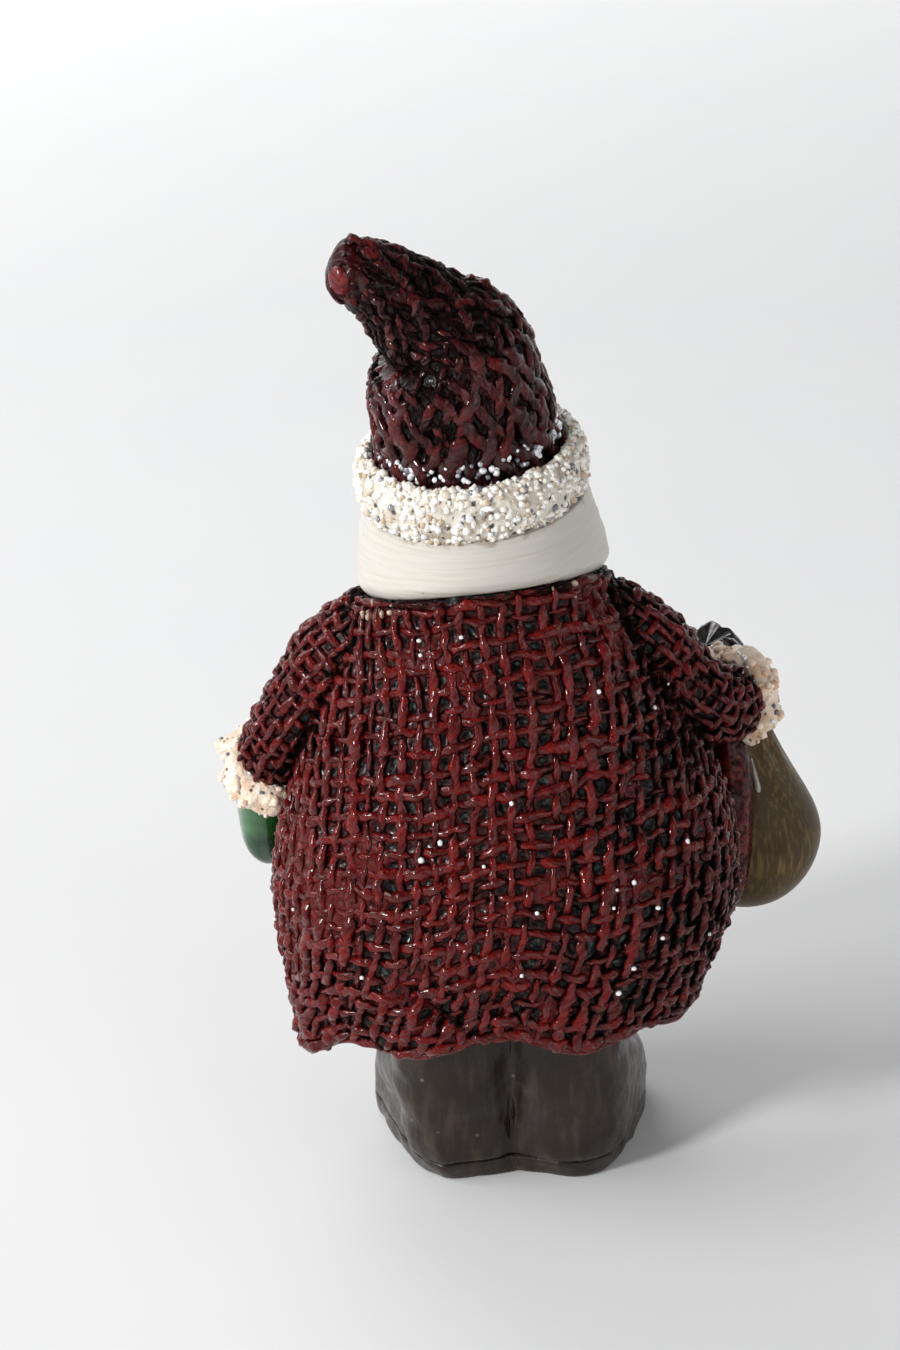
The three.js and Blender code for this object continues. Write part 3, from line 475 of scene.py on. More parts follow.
def pooled(points, *lines):  # 1 beside a strand, where paint has pooled, down to 0 in the middle of a hole
    middles = np.concatenate([line.reshape(-1, 3) for line in lines])
    finder = KDTree(len(middles))
    for i, middle in enumerate(middles):
        finder.insert(middle, i)
    finder.balance()
    gap = np.array([finder.find(point)[2] for point in points])
    return 1 - ramp(gap, 0.7, 1.4)


def layGround(piece, points, pool, clog, wash):  # the painted sheet behind the strands
    writePoints(piece, points)
    paint(piece, "pool", pool)
    paint(piece, "clog", clog)
    # the wash layer holds a dark wash and painted shade
    paint(piece, "wash", wash)
    return sealed(piece)


def strandMaterial(name, look):
    def cover(tree):
        raised = math2(tree, "MULTIPLY", layerValue(tree, "rise"), look["contrast"])
        # less paint shows where the wash layer is high: its dark wash and its painted shade
        bare = math2(tree, "MULTIPLY", layerValue(tree, "wash"), look["washDepth"])
        return math2(tree, "SUBTRACT", math2(tree, "ADD", raised, look["cover"]), bare)

    def spot(tree):
        return addNode(tree, "Mapping", {0: layerVector(tree, "fibre"), 3: (1, 1, 0.35)}).outputs[0]

    return paintedMaterial(name, look, spot, cover)


def groundMaterial(name, look):  # bare glossy ground in some holes, dark paint pooled beside the strands
    material, tree, shader = startMaterial(name, 0.25, specular=look["specular"])
    spot = objectPlace(tree)
    made = washed(tree, look, spot, 0.36)
    shade = remap(tree, layerValue(tree, "pool"), 0.25, 0.65)
    colour = mixColour(tree, shade, made["Color"], look["wash"])
    filled = math2(tree, "ADD", layerValue(tree, "pool"), layerValue(tree, "clog"))
    # the wash layer's wash and painted shade hold the pooled red back
    bare = math2(tree, "SUBTRACT", filled, math2(tree, "MULTIPLY", layerValue(tree, "wash"), 0.9))
    broken = noise(tree, spot, 1.4, 4.0)
    shown = math2(tree, "ADD", bare, math2(tree, "SUBTRACT", broken, 0.5))
    colour = mixColour(tree, remap(tree, shown, 0.6, 1.3), colour, look["pooled"])
    join(tree, shader, colour, made["Roughness"], broken, 0.5, 0.25)
    gloss = math2(tree, "MULTIPLY", remap(tree, broken, 0.45, 0.65), look["coat"])
    tree.links.new(gloss, shader.inputs["Coat Weight"])
    return material


# Coat: one length of burlap wrapped round, its free edge lapped over down the front

coat = {
    "stations": [
        (18.8, 26.5, 23.5, 2.2), (39.5, 30.8, 26.5, 0), (60.5, 26, 21.5, 0),
        (76, 19.5, 17.5, 0), (81.7, 16.4, 15.6, 1),
    ],  # height, half width, half depth, shift to the left
    "hemBackLift": 8, "flutes": 8, "fluteDepth": 0.8, "fluteDip": 1.1, "fluteRise": 16,
    "cornerTurn": 170, "cornerWidth": 24, "cornerLift": 5.6,  # the hem rounds up at the right
    "foldTurn": 72, "foldHeight": 32.5, "foldSlope": 2.2,  # the slanting fold above the left corner
    "lapWidth": 11, "lapStep": 1.3,
    "collarTilt": math.radians(14.5), "collarLean": math.radians(4.8),
    "pitch": 2.5, "rows": 25, "flatHeight": 63, "lean": 5, "rowTilt": 0.16,
    "warpSteps": 150, "weftSteps": 420, "groundMesh": (520, 184), "liningDepth": 1.58,
    "warp": {"halfWidth": 0.6, "halfHeight": 0.54, "base": -0.42, "amp": 0.24, "uneven": 0.24, "knots": 0.54,
             "pitch": 2.5, "sway": 0.38, "rough": 0.16, "tip": 0.9, "floor": -0.65, "top": 0.22},
    "weft": {"halfWidth": 0.55, "halfHeight": 0.5, "base": -0.5, "amp": 0.28, "uneven": 0.3, "knots": 0.54,
             "pitch": 2.5, "sway": 0.45, "rough": 0.18, "tip": 0.9, "floor": -0.75, "top": 0.14},
    "look": {"paint": (0.08, 0.0018, 0.0015), "light": (0.17, 0.005, 0.004),
             "wash": (0.006, 0.001, 0.001), "scale": 0.8, "coat": 1.0, "coatIndex": 1.42, "specular": 0.05,
             "relief": 1.0, "depth": 0.6, "grit": 2.0, "cover": -0.12, "contrast": 1.0, "washDepth": 0.6},
    # the ground's grey-green light paint is partly its own paint and partly a painted reflection of the
    # glossy resin in the holes
    "groundLook": {"paint": (0.008, 0.007, 0.008), "light": (0.12, 0.15, 0.14),
                   "wash": (0.004, 0.003, 0.003), "pooled": (0.08, 0.004, 0.004), "scale": 0.3,
                   "coat": 0.35, "specular": 0.12},
}
coatAt = stationCurve(coat["stations"])
hemHeight = coat["stations"][0][0]
collarHeight, collarHalfWidth, collarHalfDepth = coat["stations"][-1][:3]

# Arms: root, wrist, and the pitch and yaw of the forearm and of the hand, in degrees
arms = {
    "left": {"side": 1, "root": (13.2, 0, 78), "wrist": (30.15, -4.9, 55.5), "forearm": (55, 36),
             "hand": (72, 0), "bends": (9, 8), "wristRadius": 4.9},
    "right": {"side": -1, "root": (-13.2, 0, 77.5), "wrist": (-31.0, -8, 60.5), "forearm": (8, 28),
              "hand": (20, -8), "bends": (10, 11), "wristRadius": 5.3},
}
sleeveRadii = [(0, 4.9), (0.25, 6.2), (0.5, 5.8)]
shoulderPitch = math.radians(35)
palmReach = 5.2


def pointing(side, pitch, yaw):
    pitch, yaw = math.radians(pitch), math.radians(yaw)
    level = math.cos(pitch)
    return np.array((side * math.sin(yaw) * level, -math.cos(yaw) * level, -math.sin(pitch)))


def limbAxes(side, direction):  # outwards, across and along a limb
    outward = unit(np.array((side, 0, 0)) - direction * direction[0] * side)
    return np.array((outward, np.cross(direction, outward), direction))


for arm in arms.values():
    forearmWay = pointing(arm["side"], *arm["forearm"])
    arm["handWay"] = pointing(arm["side"], *arm["hand"])
    arm["radiusAt"] = stationCurve(sleeveRadii + [(1, arm["wristRadius"])])
    root, wrist = np.array(arm["root"], float), np.array(arm["wrist"], float)
    leave = np.array((arm["side"] * math.cos(shoulderPitch), 0, -math.sin(shoulderPitch)))
    elbow = wrist - forearmWay * arm["bends"][1]
    arm["handles"] = (root, root + leave * arm["bends"][0], elbow, wrist)
    arm["axes"] = limbAxes(arm["side"], forearmWay)
    arm["palm"] = wrist + forearmWay * palmReach
    arm["handAxes"] = limbAxes(arm["side"], arm["handWay"])


def armLine(arm, share):  # the arm's middle line
    t = np.asarray(share, float)[..., None]
    a, b, c, d = arm["handles"]
    return (1 - t) ** 3 * a + 3 * (1 - t) ** 2 * t * b + 3 * (1 - t) * t**2 * c + t**3 * d


def sleeveGap(points):  # how far points are from the nearer sleeve's surface
    nearest = np.full(points.shape[:-1], 99.0)
    for arm in arms.values():
        for share in np.linspace(0.1, 1, 24):
            reach = np.linalg.norm(points - armLine(arm, share), axis=-1) - arm["radiusAt"](share)[0]
            nearest = np.minimum(nearest, reach)
    return nearest


def hemLine(turn):
    drawnUp = coat["hemBackLift"] * np.maximum(0, np.sin(turn)) ** 2
    corner = coat["cornerLift"] * bump((np.degrees(turn) % 360 - coat["cornerTurn"]) / coat["cornerWidth"])
    return hemHeight + drawnUp + corner + coat["fluteDip"] * np.cos(coat["flutes"] * turn)


def collarLine(turn):
    back = math.tan(coat["collarTilt"]) * collarHalfDepth * np.sin(turn)
    return collarHeight + back - math.tan(coat["collarLean"]) * collarHalfWidth * np.cos(turn)


def foldGap(degrees, z):  # how far a spot is past the slanting fold, in degrees
    return degrees - coat["foldTurn"] + coat["foldSlope"] * (z - coat["foldHeight"])


def coatRelief(turn, z, halfDepth):
    degrees = np.degrees(turn) % 360
    fade = np.clip(1 - (z - hemHeight) / coat["fluteRise"], 0, 1)
    flutes = -coat["fluteDepth"] * fade * np.cos(coat["flutes"] * turn)
    across = (turn + np.pi / 2) % fullTurn * halfDepth
    lap = coat["lapStep"] * np.clip(1 - across / coat["lapWidth"], 0, 1)
    gap = foldGap(degrees, z)
    crease = -1.0 * bump(gap / 3.2) * bump((z - 32) / 4)
    roll = 0.9 * bump((gap + 9) / 6) * bump((z - 29) / 6)
    fuller = 1.3 * bump((degrees - 172) / 32) * bump((z - 46) / 13)
    return flutes + lap + crease + roll + fuller


def coatSkin(around, share, lift):  # around is the length from the middle of the back, towards the left
    around, share = np.broadcast_arrays(np.asarray(around, float), np.asarray(share, float))
    z = hemHeight + (collarHeight - hemHeight) * share
    for _ in range(4):
        halfWidth, halfDepth, shift = coatAt(z)
        mean, spread = (halfWidth + halfDepth) / 2, (halfWidth - halfDepth) / 4
        bearing = around / mean
        for _ in range(3):
            bearing = (around - spread * np.sin(2 * bearing)) / mean
        turn = np.pi / 2 - bearing
        z = hemLine(turn) + (collarLine(turn) - hemLine(turn)) * share
    off = lift + coatRelief(turn, z, halfDepth) + 0.4 * lumps(onRing(turn, 25, z), 11, 5)
    return stacked(shift + (halfWidth + off) * np.cos(turn), (halfDepth + off) * np.sin(turn), z)


def halfGirth(share):  # from the back's middle to the front edge
    front = np.full(np.shape(share), -np.pi / 2)
    z = hemLine(front) + (collarLine(front) - hemLine(front)) * np.asarray(share, float)
    halfWidth, halfDepth, _ = coatAt(z)
    return np.pi * (halfWidth + halfDepth) / 2


def flatCloth(around, share):
    return stacked(around, share * coat["flatHeight"], 0 * around)


def coatDrift(around, share):  # the cloth hangs a little askew
    edge = np.clip(1 - (np.abs(around) / halfGirth(share)) ** 4, 0, 1)
    flat = flatCloth(around, share)
    drifted = around + edge * (coat["lean"] * (1 - share) ** 2 + 0.9 * lumps(flat, 19, 6))
    tilt = -coat["rowTilt"] * around * bump(around / 45) / 62
    risen = share + 4 * share * (1 - share) * (tilt + 0.012 * lumps(flat, 17, 7))
    return drifted, np.clip(risen, 0, 1)


def coatWashAndShade(points):  # how dark the coat is painted: a dark wash in random patches, painted shade beside the sleeves, in the crease, along the collar and down the right side, painted light on the shoulders
    x, y, z = points.T
    turn = np.arctan2(y, x)
    # painted shade in the valleys beside the sleeves, in the fold's crease and along the collar's top edge
    sleeveValleyShade = bump(np.maximum(sleeveGap(points), 0) / 1.5)
    crease = bump(foldGap(np.degrees(turn), z) / 3.5) * bump((z - 32) / 4)
    collar = 0.45 * bump(collarLine(turn) - z)
    # painted shade down the right side, painted light on the shoulders
    rightSideShade = 0.68 * ramp(-x, 4, 26)
    shoulderLight = -0.2 * ramp(z, 62, 74)
    patches = 0.3 * lumps(points, 8, 9)
    return np.clip(np.maximum.reduce((sleeveValleyShade, crease, collar)) + rightSideShade + shoulderLight + patches, 0, 1)


backShares = np.linspace(0, 1, 400)
backRun = runLength(coatSkin(0 * backShares, backShares, 0), 0)
rowStep = backRun[-1] / coat["rows"]
upCount = int(halfGirth(backShares).max() / coat["pitch"])


def rowOf(share):
    return np.interp(share, backShares, backRun) / rowStep - 0.5


def shareOf(row):
    return np.interp((row + 0.5) * rowStep, backRun, backShares)


def strandAround(index, share):  # parallel at the back, gathered towards the front edge
    part = index / upCount
    gather = ramp(np.abs(part), 0.3, 1)
    return (1 - gather) * index * coat["pitch"] + gather * part * (halfGirth(share) - 0.4)


# every other strand of the crowded front ends below the collar
upIndex = np.arange(-upCount, upCount + 1)[:, None]
crowded = (np.abs(upIndex) > 0.45 * upCount) & (upIndex % 2 == 1)
shortHigh = 0.62 + 0.1 * rng.random(upIndex.shape)
longHigh = 1 - 0.012 * rng.random(upIndex.shape)
upHigh = np.where(crowded, shortHigh, longHigh)
upLow = 0.004 + 0.012 * rng.random(upIndex.shape)
share = upLow + (upHigh - upLow) * np.linspace(0, 1, coat["warpSteps"])
around = strandAround(upIndex + 0.14 * rng.uniform(-1, 1, upIndex.shape), share)
over = np.cos(np.pi * (upIndex + rowOf(share)))
drifted, risen = coatDrift(around, share)
coatWarp, warpLines = layStrands("coat_warp", coatSkin, drifted, risen, over, coat["warp"], 31, coatWashAndShade)

rowIndex = np.arange(coat["rows"])[:, None]
rowShare = shareOf(rowIndex + 0.16 * rng.uniform(-1, 1, rowIndex.shape))
upPlace = np.linspace(-upCount, upCount, coat["weftSteps"])[None]
share = rowShare + 0 * upPlace
around = np.maximum.accumulate(strandAround(upPlace, share), axis=1)
over = -np.cos(np.pi * (rowIndex + upPlace))
drifted, risen = coatDrift(around, share)
coatWeft, weftLines = layStrands("coat_weft", coatSkin, drifted, risen, over, coat["weft"], 41, coatWashAndShade)

# paint has filled the holes in patches, most of all on the left flank
coatGround, u, v = addGrid("coat_ground", *coat["groundMesh"])
around = (2 * u - 1) * halfGirth(v)
flat = flatCloth(around, v)
leftFlank = 0.7 * ramp(around, 18, 34) * ramp(v, 0.9, 0.6)
clog = np.clip(leftFlank + 0.8 * lumps(flat, 6, 14) + 0.6 * lumps(flat, 2.6, 15) - 0.15, 0, 1)
pool = pooled(coatSkin(around, v, -0.8), warpLines, weftLines)
lift = -1.35 + 0.7 * pool + 0.8 * clog + 0.2 * lumps(flat, 1.3, 16)
points = coatSkin(around, v, np.clip(lift, -1.55, -0.25))
layGround(coatGround, points, pool, clog, coatWashAndShade(points))


def noLayer(u, v, points):
    return 0 * u


coatLining = wrapSheet(
    "coat_lining", 130, 40, lambda u, v: coatSkin((2 * u - 1) * halfGirth(v), v, -coat["liningDepth"]),
    pool=noLayer, clog=noLayer, wash=noLayer,
)

# the bound lower edge, and clotted paint along the collar
edges = {
    "hem": {"end": 0, "share": 0.006, "faceShare": 0.02, "lift": -0.95, "size": 0.74, "uneven": 0.3,
            "grain": 2.4, "seed": 17, "height": 0.75},
    "collar": {"end": 1, "share": 0.992, "faceShare": 0.97, "lift": -0.9, "size": 0.5, "uneven": 0.6,
               "grain": 2.2, "seed": 18, "height": 0.8},
}


def edgeCord(plan):
    def place(u, v):
        around = (2 * v - 1) * halfGirth(plan["end"] + 0 * v)
        middle = coatSkin(around, plan["share"] + 0 * v, plan["lift"])
        facing = skinFacing(coatSkin, around, plan["faceShare"] + 0 * v)
        uneven = lumps(stacked(around, 0 * v, 0 * v), plan["grain"], plan["seed"])
        size = plan["size"] + plan["uneven"] * uneven
        return middle + size[:, None] * spoke(facing, np.array((0, 0, plan["height"])), fullTurn * u)

    return place


coatHem = wrapSheet(
    "coat_hem", 10, 300, edgeCord(edges["hem"]),
    rise=lambda u, v, points: 0.75 + 0.25 * np.cos(fullTurn * u),
    wash=lambda u, v, points: coatWashAndShade(points),
    fibre=woundLayer(1, 170),
)
coatCollar = wrapSheet(
    "coat_collar", 10, 240, edgeCord(edges["collar"]),
    rise=lambda u, v, points: 0.5 + 0.4 * np.cos(fullTurn * u),
    wash=lambda u, v, points: np.clip(0.4 + 0.8 * lumps(points, 3, 19), 0, 1),
    fibre=woundLayer(1, 100),
)

coatPaint = strandMaterial("coat burlap", coat["look"])
coatGroundPaint = groundMaterial("coat ground", coat["groundLook"])
dressed(coatGround, coatGroundPaint, "coat_burlap", "coat")
dressed(coatLining, coatGroundPaint, "coat_burlap")
for piece in (coatWarp, coatWeft, coatHem, coatCollar):
    dressed(piece, coatPaint, "coat_burlap")

# stray white glitter, as lengths from the back's middle towards the left and shares of the height
glitter = {
    "spots": [(8.4, 0.77), (7.6, 0.5), (9.2, 0.89), (-17, 0.39), (-14.6, 0.385), (-14, 0.35), (-21.2, 0.25),
              (-17.2, 0.2), (-1.6, 0.56), (10.2, 0.47), (18.8, 0.2), (-13.3, 0.78), (-23, 0.72),
              (-26, 0.44)],
    "strays": 26, "around": (-70, 70), "share": (0.1, 0.95), "size": (0.26, 0.44),
    "dim": (0.78, 0.78, 0.80), "bright": (0.95, 0.95, 0.95),
}
strays = stacked(*(rng.uniform(*glitter[key], glitter["strays"]) for key in ("around", "share")))
around, share = np.concatenate((glitter["spots"], strays)).T
coatGlitter = scatter("coat_glitter", coatSkin(around, share, 0.3), glitter["size"], 1, 0.2)
glitterPaint, tree, shader = startMaterial("white glitter", 0.2, 0.8)
flake = remap(tree, layerValue(tree, "tone"), 0, 1)
join(tree, shader, mixColour(tree, flake, glitter["dim"], glitter["bright"]))
dressed(coatGlitter, glitterPaint, "snow_paste")

# cream smears under the collar, in two groups of (from, to, count)
smears = {
    "groups": [(13, 20, 14), (-13, -6, 4)], "share": (0.965, 0.998), "size": (0.25, 0.5),
    "look": {"first": (0.50, 0.40, 0.29), "second": (0.16, 0.08, 0.05), "rough": 0.35, "coat": 0.5,
             "specular": 0.5, "scale": 0.9, "detail": 3.0, "edge": (0.35, 0.65), "relief": (0.5, 0.3)},
}
around = np.concatenate([rng.uniform(*group) for group in smears["groups"]])
smearSpots = coatSkin(around, rng.uniform(*smears["share"], len(around)), -0.2)
smearPiece = scatter("collar_smears", smearSpots, smears["size"], 1, 0.5)
dressed(smearPiece, mottledMaterial("cream smear", smears["look"]), "snow_paste")
print("coat woven:", len(coatWarp.data.polygons) + len(coatWeft.data.polygons), "faces")


# Sleeves

sleeves = {
    "warp": dict(coat["warp"], halfWidth=0.5, sway=0.22, knots=0.4, pitch=2.0),
    "weft": dict(coat["weft"], halfWidth=0.48, sway=0.22, knots=0.4, pitch=2.0),
    "strands": 18, "rows": 16, "warpSteps": 96, "weftSteps": 104, "twist": 0.35, "groundMesh": (110, 90),
}


def sleeveSkin(arm):
    def skin(around, share, lift):  # around is an angle from the back
        around, share = np.broadcast_arrays(np.asarray(around, float), np.asarray(share, float))
        along = unit(armLine(arm, share + 0.01) - armLine(arm, share - 0.01))
        across = unit(np.array((0, 1.0, 0)) - along * along[..., 1:2])
        soft = onRing(around, 4, 30 * share)
        radius = arm["radiusAt"](share)[0] + lift + 0.35 * lumps(soft, 6, 21)
        return armLine(arm, share) + radius[..., None] * spoke(across, np.cross(along, across), around)

    return skin


# how dark the sleeve is painted: painted shade where it meets the coat and on the right, painted light on
# the left, and a wash in random patches
def sleeveWashAndShade(points):
    x, y, z = points.T
    halfWidth, halfDepth, shift = coatAt(z)
    away = np.hypot((x - shift) / halfWidth, y / halfDepth) - 1
    # painted shade where the sleeve meets the coat
    seamShade = bump(np.maximum(away * 25, 0) / 1.6)
    # painted shade on the right flank, painted light on the left
    flankLightAndShade = 0.25 * ramp(-x, 4, 26) - 0.2 * ramp(x, 4, 20)
    return np.clip(seamShade + 0.3 * lumps(points, 6, 22) + flankLightAndShade, 0, 1)


for side, arm in arms.items():
    name, skin, count, rows = "sleeve_" + side, sleeveSkin(arm), sleeves["strands"], sleeves["rows"]
    index = np.arange(count)[:, None]
    steps = np.linspace(0, 1, sleeves["warpSteps"])[None]
    share = steps + 0 * index
    around = fullTurn * (index + 0.15 * rng.uniform(-1, 1, index.shape)) / count
    around = around + sleeves["twist"] * steps * arm["side"]
    over = np.cos(np.pi * (index + share * rows))
    warp, upLines = layStrands(name + "_warp", skin, around, share, over, sleeves["warp"], 51, sleeveWashAndShade)

    row = np.arange(rows)[:, None] + 0.5
    steps = np.linspace(0, 1, sleeves["weftSteps"])[None]
    around = fullTurn * steps + np.pi + 0 * row
    share = (row + 0.12 * rng.uniform(-1, 1, row.shape)) / rows + 0 * steps
    over = -np.cos(np.pi * ((steps + 0.5) * count + row - 0.5))
    weft, rowLines = layStrands(name + "_weft", skin, around, share, over, sleeves["weft"], 61, sleeveWashAndShade)

    ground, u, v = addGrid(name + "_ground", *sleeves["groundMesh"])
    pool = pooled(skin(fullTurn * u, v, -0.8), upLines, rowLines)
    flat = onRing(fullTurn * u, 30, 30 * v)
    points = skin(fullTurn * u, v, -1.3 + 0.65 * pool + 0.15 * lumps(flat, 4, 16))
    clog = np.clip(0.7 * lumps(points, 6, 23), 0, 1)
    layGround(ground, points, pool, clog, sleeveWashAndShade(points))
    dressed(ground, coatGroundPaint, "coat_burlap", name)
    for piece in (warp, weft):
        dressed(piece, coatPaint, "coat_burlap")
print("sleeves woven")


# Head frame: everything of the head leans with it

headPlan = {"chin": (1, 0, 85), "lean": math.radians(4), "tilt": math.radians(-8)}
headTurn = np.array(Matrix.Rotation(headPlan["lean"], 3, "Y") @ Matrix.Rotation(headPlan["tilt"], 3, "X"))


def onHead(points):
    return np.asarray(points) @ headTurn.T + headPlan["chin"]


def fromHead(points):
    return (points - headPlan["chin"]) @ headTurn


# Hat: burlap on the bias over a cone that bends to the left

hat = {
    "rows": [
        (0, 0, 0, 11.1, 11.8), (0.2, 0, 0, 17.1, 11.8), (0.4, 1.2, 0, 29.1, 10.4), (0.6, 4, 0, 34.6, 7.2),
        (0.8, 8.8, 0.3, 40.3, 4.8), (1, 14.4, 0.5, 43.4, 3.4),
    ],  # share, place, radius
    "strands": 21, "bias": 3.4, "steps": 150, "from": 0.12, "reaches": (0.97, 0.86, 0.93),
    "groundMesh": (200, 160),
    "strand": {"halfWidth": 0.82, "halfHeight": 0.62, "base": -0.48, "amp": 0.17, "uneven": 0.14,
               "knots": 0.36, "pitch": 3.1, "sway": 0.4, "rough": 0.16, "tip": 0.8, "floor": -0.75,
               "top": 0.3},
    "look": {"paint": (0.028, 0.0016, 0.002), "light": (0.095, 0.004, 0.005),
             "wash": (0.004, 0.0008, 0.001), "scale": 0.6, "coat": 1.0, "coatIndex": 1.4, "specular": 0.05,
             "relief": 1.0, "depth": 0.6, "grit": 1.7, "cover": -0.08, "contrast": 0.95, "washDepth": 0.5},
    "groundLook": {"paint": (0.006, 0.0015, 0.0015), "light": (0.014, 0.004, 0.004),
                   "wash": (0.004, 0.001, 0.001), "pooled": (0.026, 0.002, 0.002), "scale": 0.3,
                   "coat": 0.3, "specular": 0.08},
}
hatAt = stationCurve(hat["rows"])


def hatMiddle(share):
    return np.moveaxis(np.array(hatAt(np.clip(share, 0, 1)))[:3], 0, -1)


def hatSkin(around, share, lift):  # around is an angle from the left, over the back
    around, share = np.broadcast_arrays(np.asarray(around, float), np.asarray(share, float))
    along = unit(hatMiddle(share + 0.01) - hatMiddle(share - 0.01))
    across = unit(np.array((1.0, 0, 0)) - along * along[..., :1])
    side = np.cos(around)
    aside = np.abs(np.arctan2(np.sin(around), side))
    crease = -1.6 * bump((share - 0.55 + 0.05 * aside) / 0.05) * ramp(-aside, -2.0, -0.9)
    bulge = 0.8 * bump((share - 0.46) / 0.05) * ramp(side, -0.2, 0.9)
    soft = 0.35 * lumps(onRing(around, 8, 45 * share), 5, 25) * ramp(share, 0.05, 0.3)
    radius = hatAt(share)[3] + lift + crease + bulge + soft
    return onHead(hatMiddle(share) + radius[..., None] * spoke(across, np.cross(along, across), around))


# how dark the hat is painted: painted shade in the fold, painted light on the left side, darker along the
# brim's top edge and towards the tail, lighter low on the cone, and a wash in random patches
def hatWashAndShade(points):
    x, y, z = fromHead(points).T
    tail = 0.4 * ramp(z, 28, 36)
    edge = 0.8 * bump((z - 17.6) / 1.2)
    # painted light on the left side
    leftEdgeLight = -0.6 * ramp(x, 3, 10) * ramp(z, 34, 26)
    foot = -0.4 * bump((z - 20) / 2.4)
    aside = np.abs(np.arctan2(y, x - 2.5))
    # painted shade in the fold
    fold = 0.7 * bump((z - 33 + 2.2 * aside) / 1.8) * ramp(-aside, -2.0, -1.0)
    return np.clip(tail + edge + leftEdgeLight + foot + fold + 0.3 + 0.35 * lumps(points, 7, 26), 0, 1)


index = np.arange(hat["strands"])[:, None]
reach = np.array(hat["reaches"])[index % 3]
share = hat["from"] + (reach - hat["from"]) * np.linspace(0, 1, hat["steps"])
crossing = np.cos(hat["bias"] * hat["strands"] * share)
hatPaint = strandMaterial("hat burlap", hat["look"])
hatLines = []
for name, lean, seed in (("hat_warp", 1, 71), ("hat_weft", -1, 81)):
    footTurn = fullTurn * (index + 0.15 * rng.uniform(-1, 1, index.shape)) / hat["strands"]
    around = footTurn + lean * hat["bias"] * share
    piece, lines = layStrands(name, hatSkin, around, share, lean * crossing, hat["strand"], seed, hatWashAndShade)
    dressed(piece, hatPaint, "hat_burlap")
    hatLines.append(lines)

# the tail's end is bare of strands, rough and closed
hatGround, u, v = addGrid("hat_ground", *hat["groundMesh"])
turn = fullTurn * u
pool = pooled(hatSkin(turn, v, -0.8), *hatLines)
bare = hatSkin(turn, v, 0)
rough = (0.3 + 0.5 * lumps(bare, 1.7, 30) + 0.3 * lumps(bare, 0.8, 32)) * ramp(v, 0.72, 0.86)
lift = -1.15 + 0.75 * pool + 0.25 * lumps(onRing(turn, 30, 50 * v), 4, 27) + rough
middle = hatSkin(0 * u, v, -hatAt(v)[3])
tailEnd = domed(np.clip((v - 0.94) / 0.06, 0, 1), 3)
points = middle + (hatSkin(turn, v, lift) - middle) * tailEnd[:, None]
clog = np.clip(0.6 * lumps(points, 5, 28) + 1.5 * ramp(v, 0.84, 0.95), 0, 1.6)
layGround(hatGround, points, pool, clog, hatWashAndShade(points))
dressed(hatGround, groundMaterial("hat ground", hat["groundLook"]), "hat_burlap", "hat", "hat_form")

# the smooth red end of the tail
tip = {
    "spot": (13.1, 3.55, 42.2), "half": (1.4, 1.9, 0.85),
    "axes": ((0.86, -0.5, 0), (0, 0, -1), (0.5, 0.86, 0)),
    "look": {"paint": (0.11, 0.005, 0.005), "light": (0.19, 0.013, 0.011),
             "wash": (0.01, 0.005, 0.005), "scale": 0.5, "coat": 0.5, "cover": 0.55},
}


def tipPlace(u, v):
    ball = onBall(u, v)
    spot = ball * tip["half"] + 0.12 * lumps(ball * 3, 1.2, 29)[:, None] * ball
    return onHead(tip["spot"] + spot @ np.array(tip["axes"]))


hatTip = wrapSheet("hat_tip_bead", 24, 16, tipPlace)
dressed(hatTip, paintedMaterial("tip gloss", tip["look"]), "red_gloss", "hat_tip")
print("hat woven")


# Snow trims: rolled bands of paste with coarse grains and silver beads pressed in

snow = {
    "brim": {"inner": 12.0, "thickness": 2.7, "low": 9.7, "high": 17.0, "ridge": 1.0, "seed": 33,
             "mesh": (200, 40), "grains": 1300, "grainBand": (-0.27, 0.27), "grain": (0.26, 0.6),
             "flatten": 0.42, "beads": 110, "beadBand": (-0.22, 0.27), "edgeBeads": 320,
             "bead": (0.34, 0.52)},
    "cuff": {"sunk": 1.5, "ridge": 3.0, "mesh": (90, 32), "grains": 90, "grainBand": (-0.3, 0.3),
             "grain": (0.3, 0.8), "flatten": 0.25, "beads": 22, "beadBand": (-0.2, 0.2),
             "edgeBeads": 40, "edgeBand": (-0.32, -0.24), "bead": (0.25, 0.45)},
    "left": {"low": -0.3, "high": 5.0, "proud": 1.6, "seed": 37},
    "right": {"low": 0.2, "high": 4.6, "proud": 1.4, "seed": 39},
}
# pit is the dark painted in the paste's pits, a painted shade
snowLooks = {
    "brim": {"base": (0.78, 0.73, 0.64), "stain": (0.30, 0.22, 0.15), "pit": (0.05, 0.04, 0.04),
             "pits": 0.5, "stainFrom": 0.38, "coat": 0.15,
             "pale": (0.92, 0.89, 0.83), "tinted": (0.52, 0.40, 0.28)},
    "cuff": {"base": (0.92, 0.76, 0.62), "stain": (0.66, 0.40, 0.22), "pit": (0.16, 0.08, 0.06),
             "pits": 0.26, "stainFrom": 0.35, "coat": 0.35,
             "pale": (0.90, 0.74, 0.61), "tinted": (0.70, 0.42, 0.24)},
}


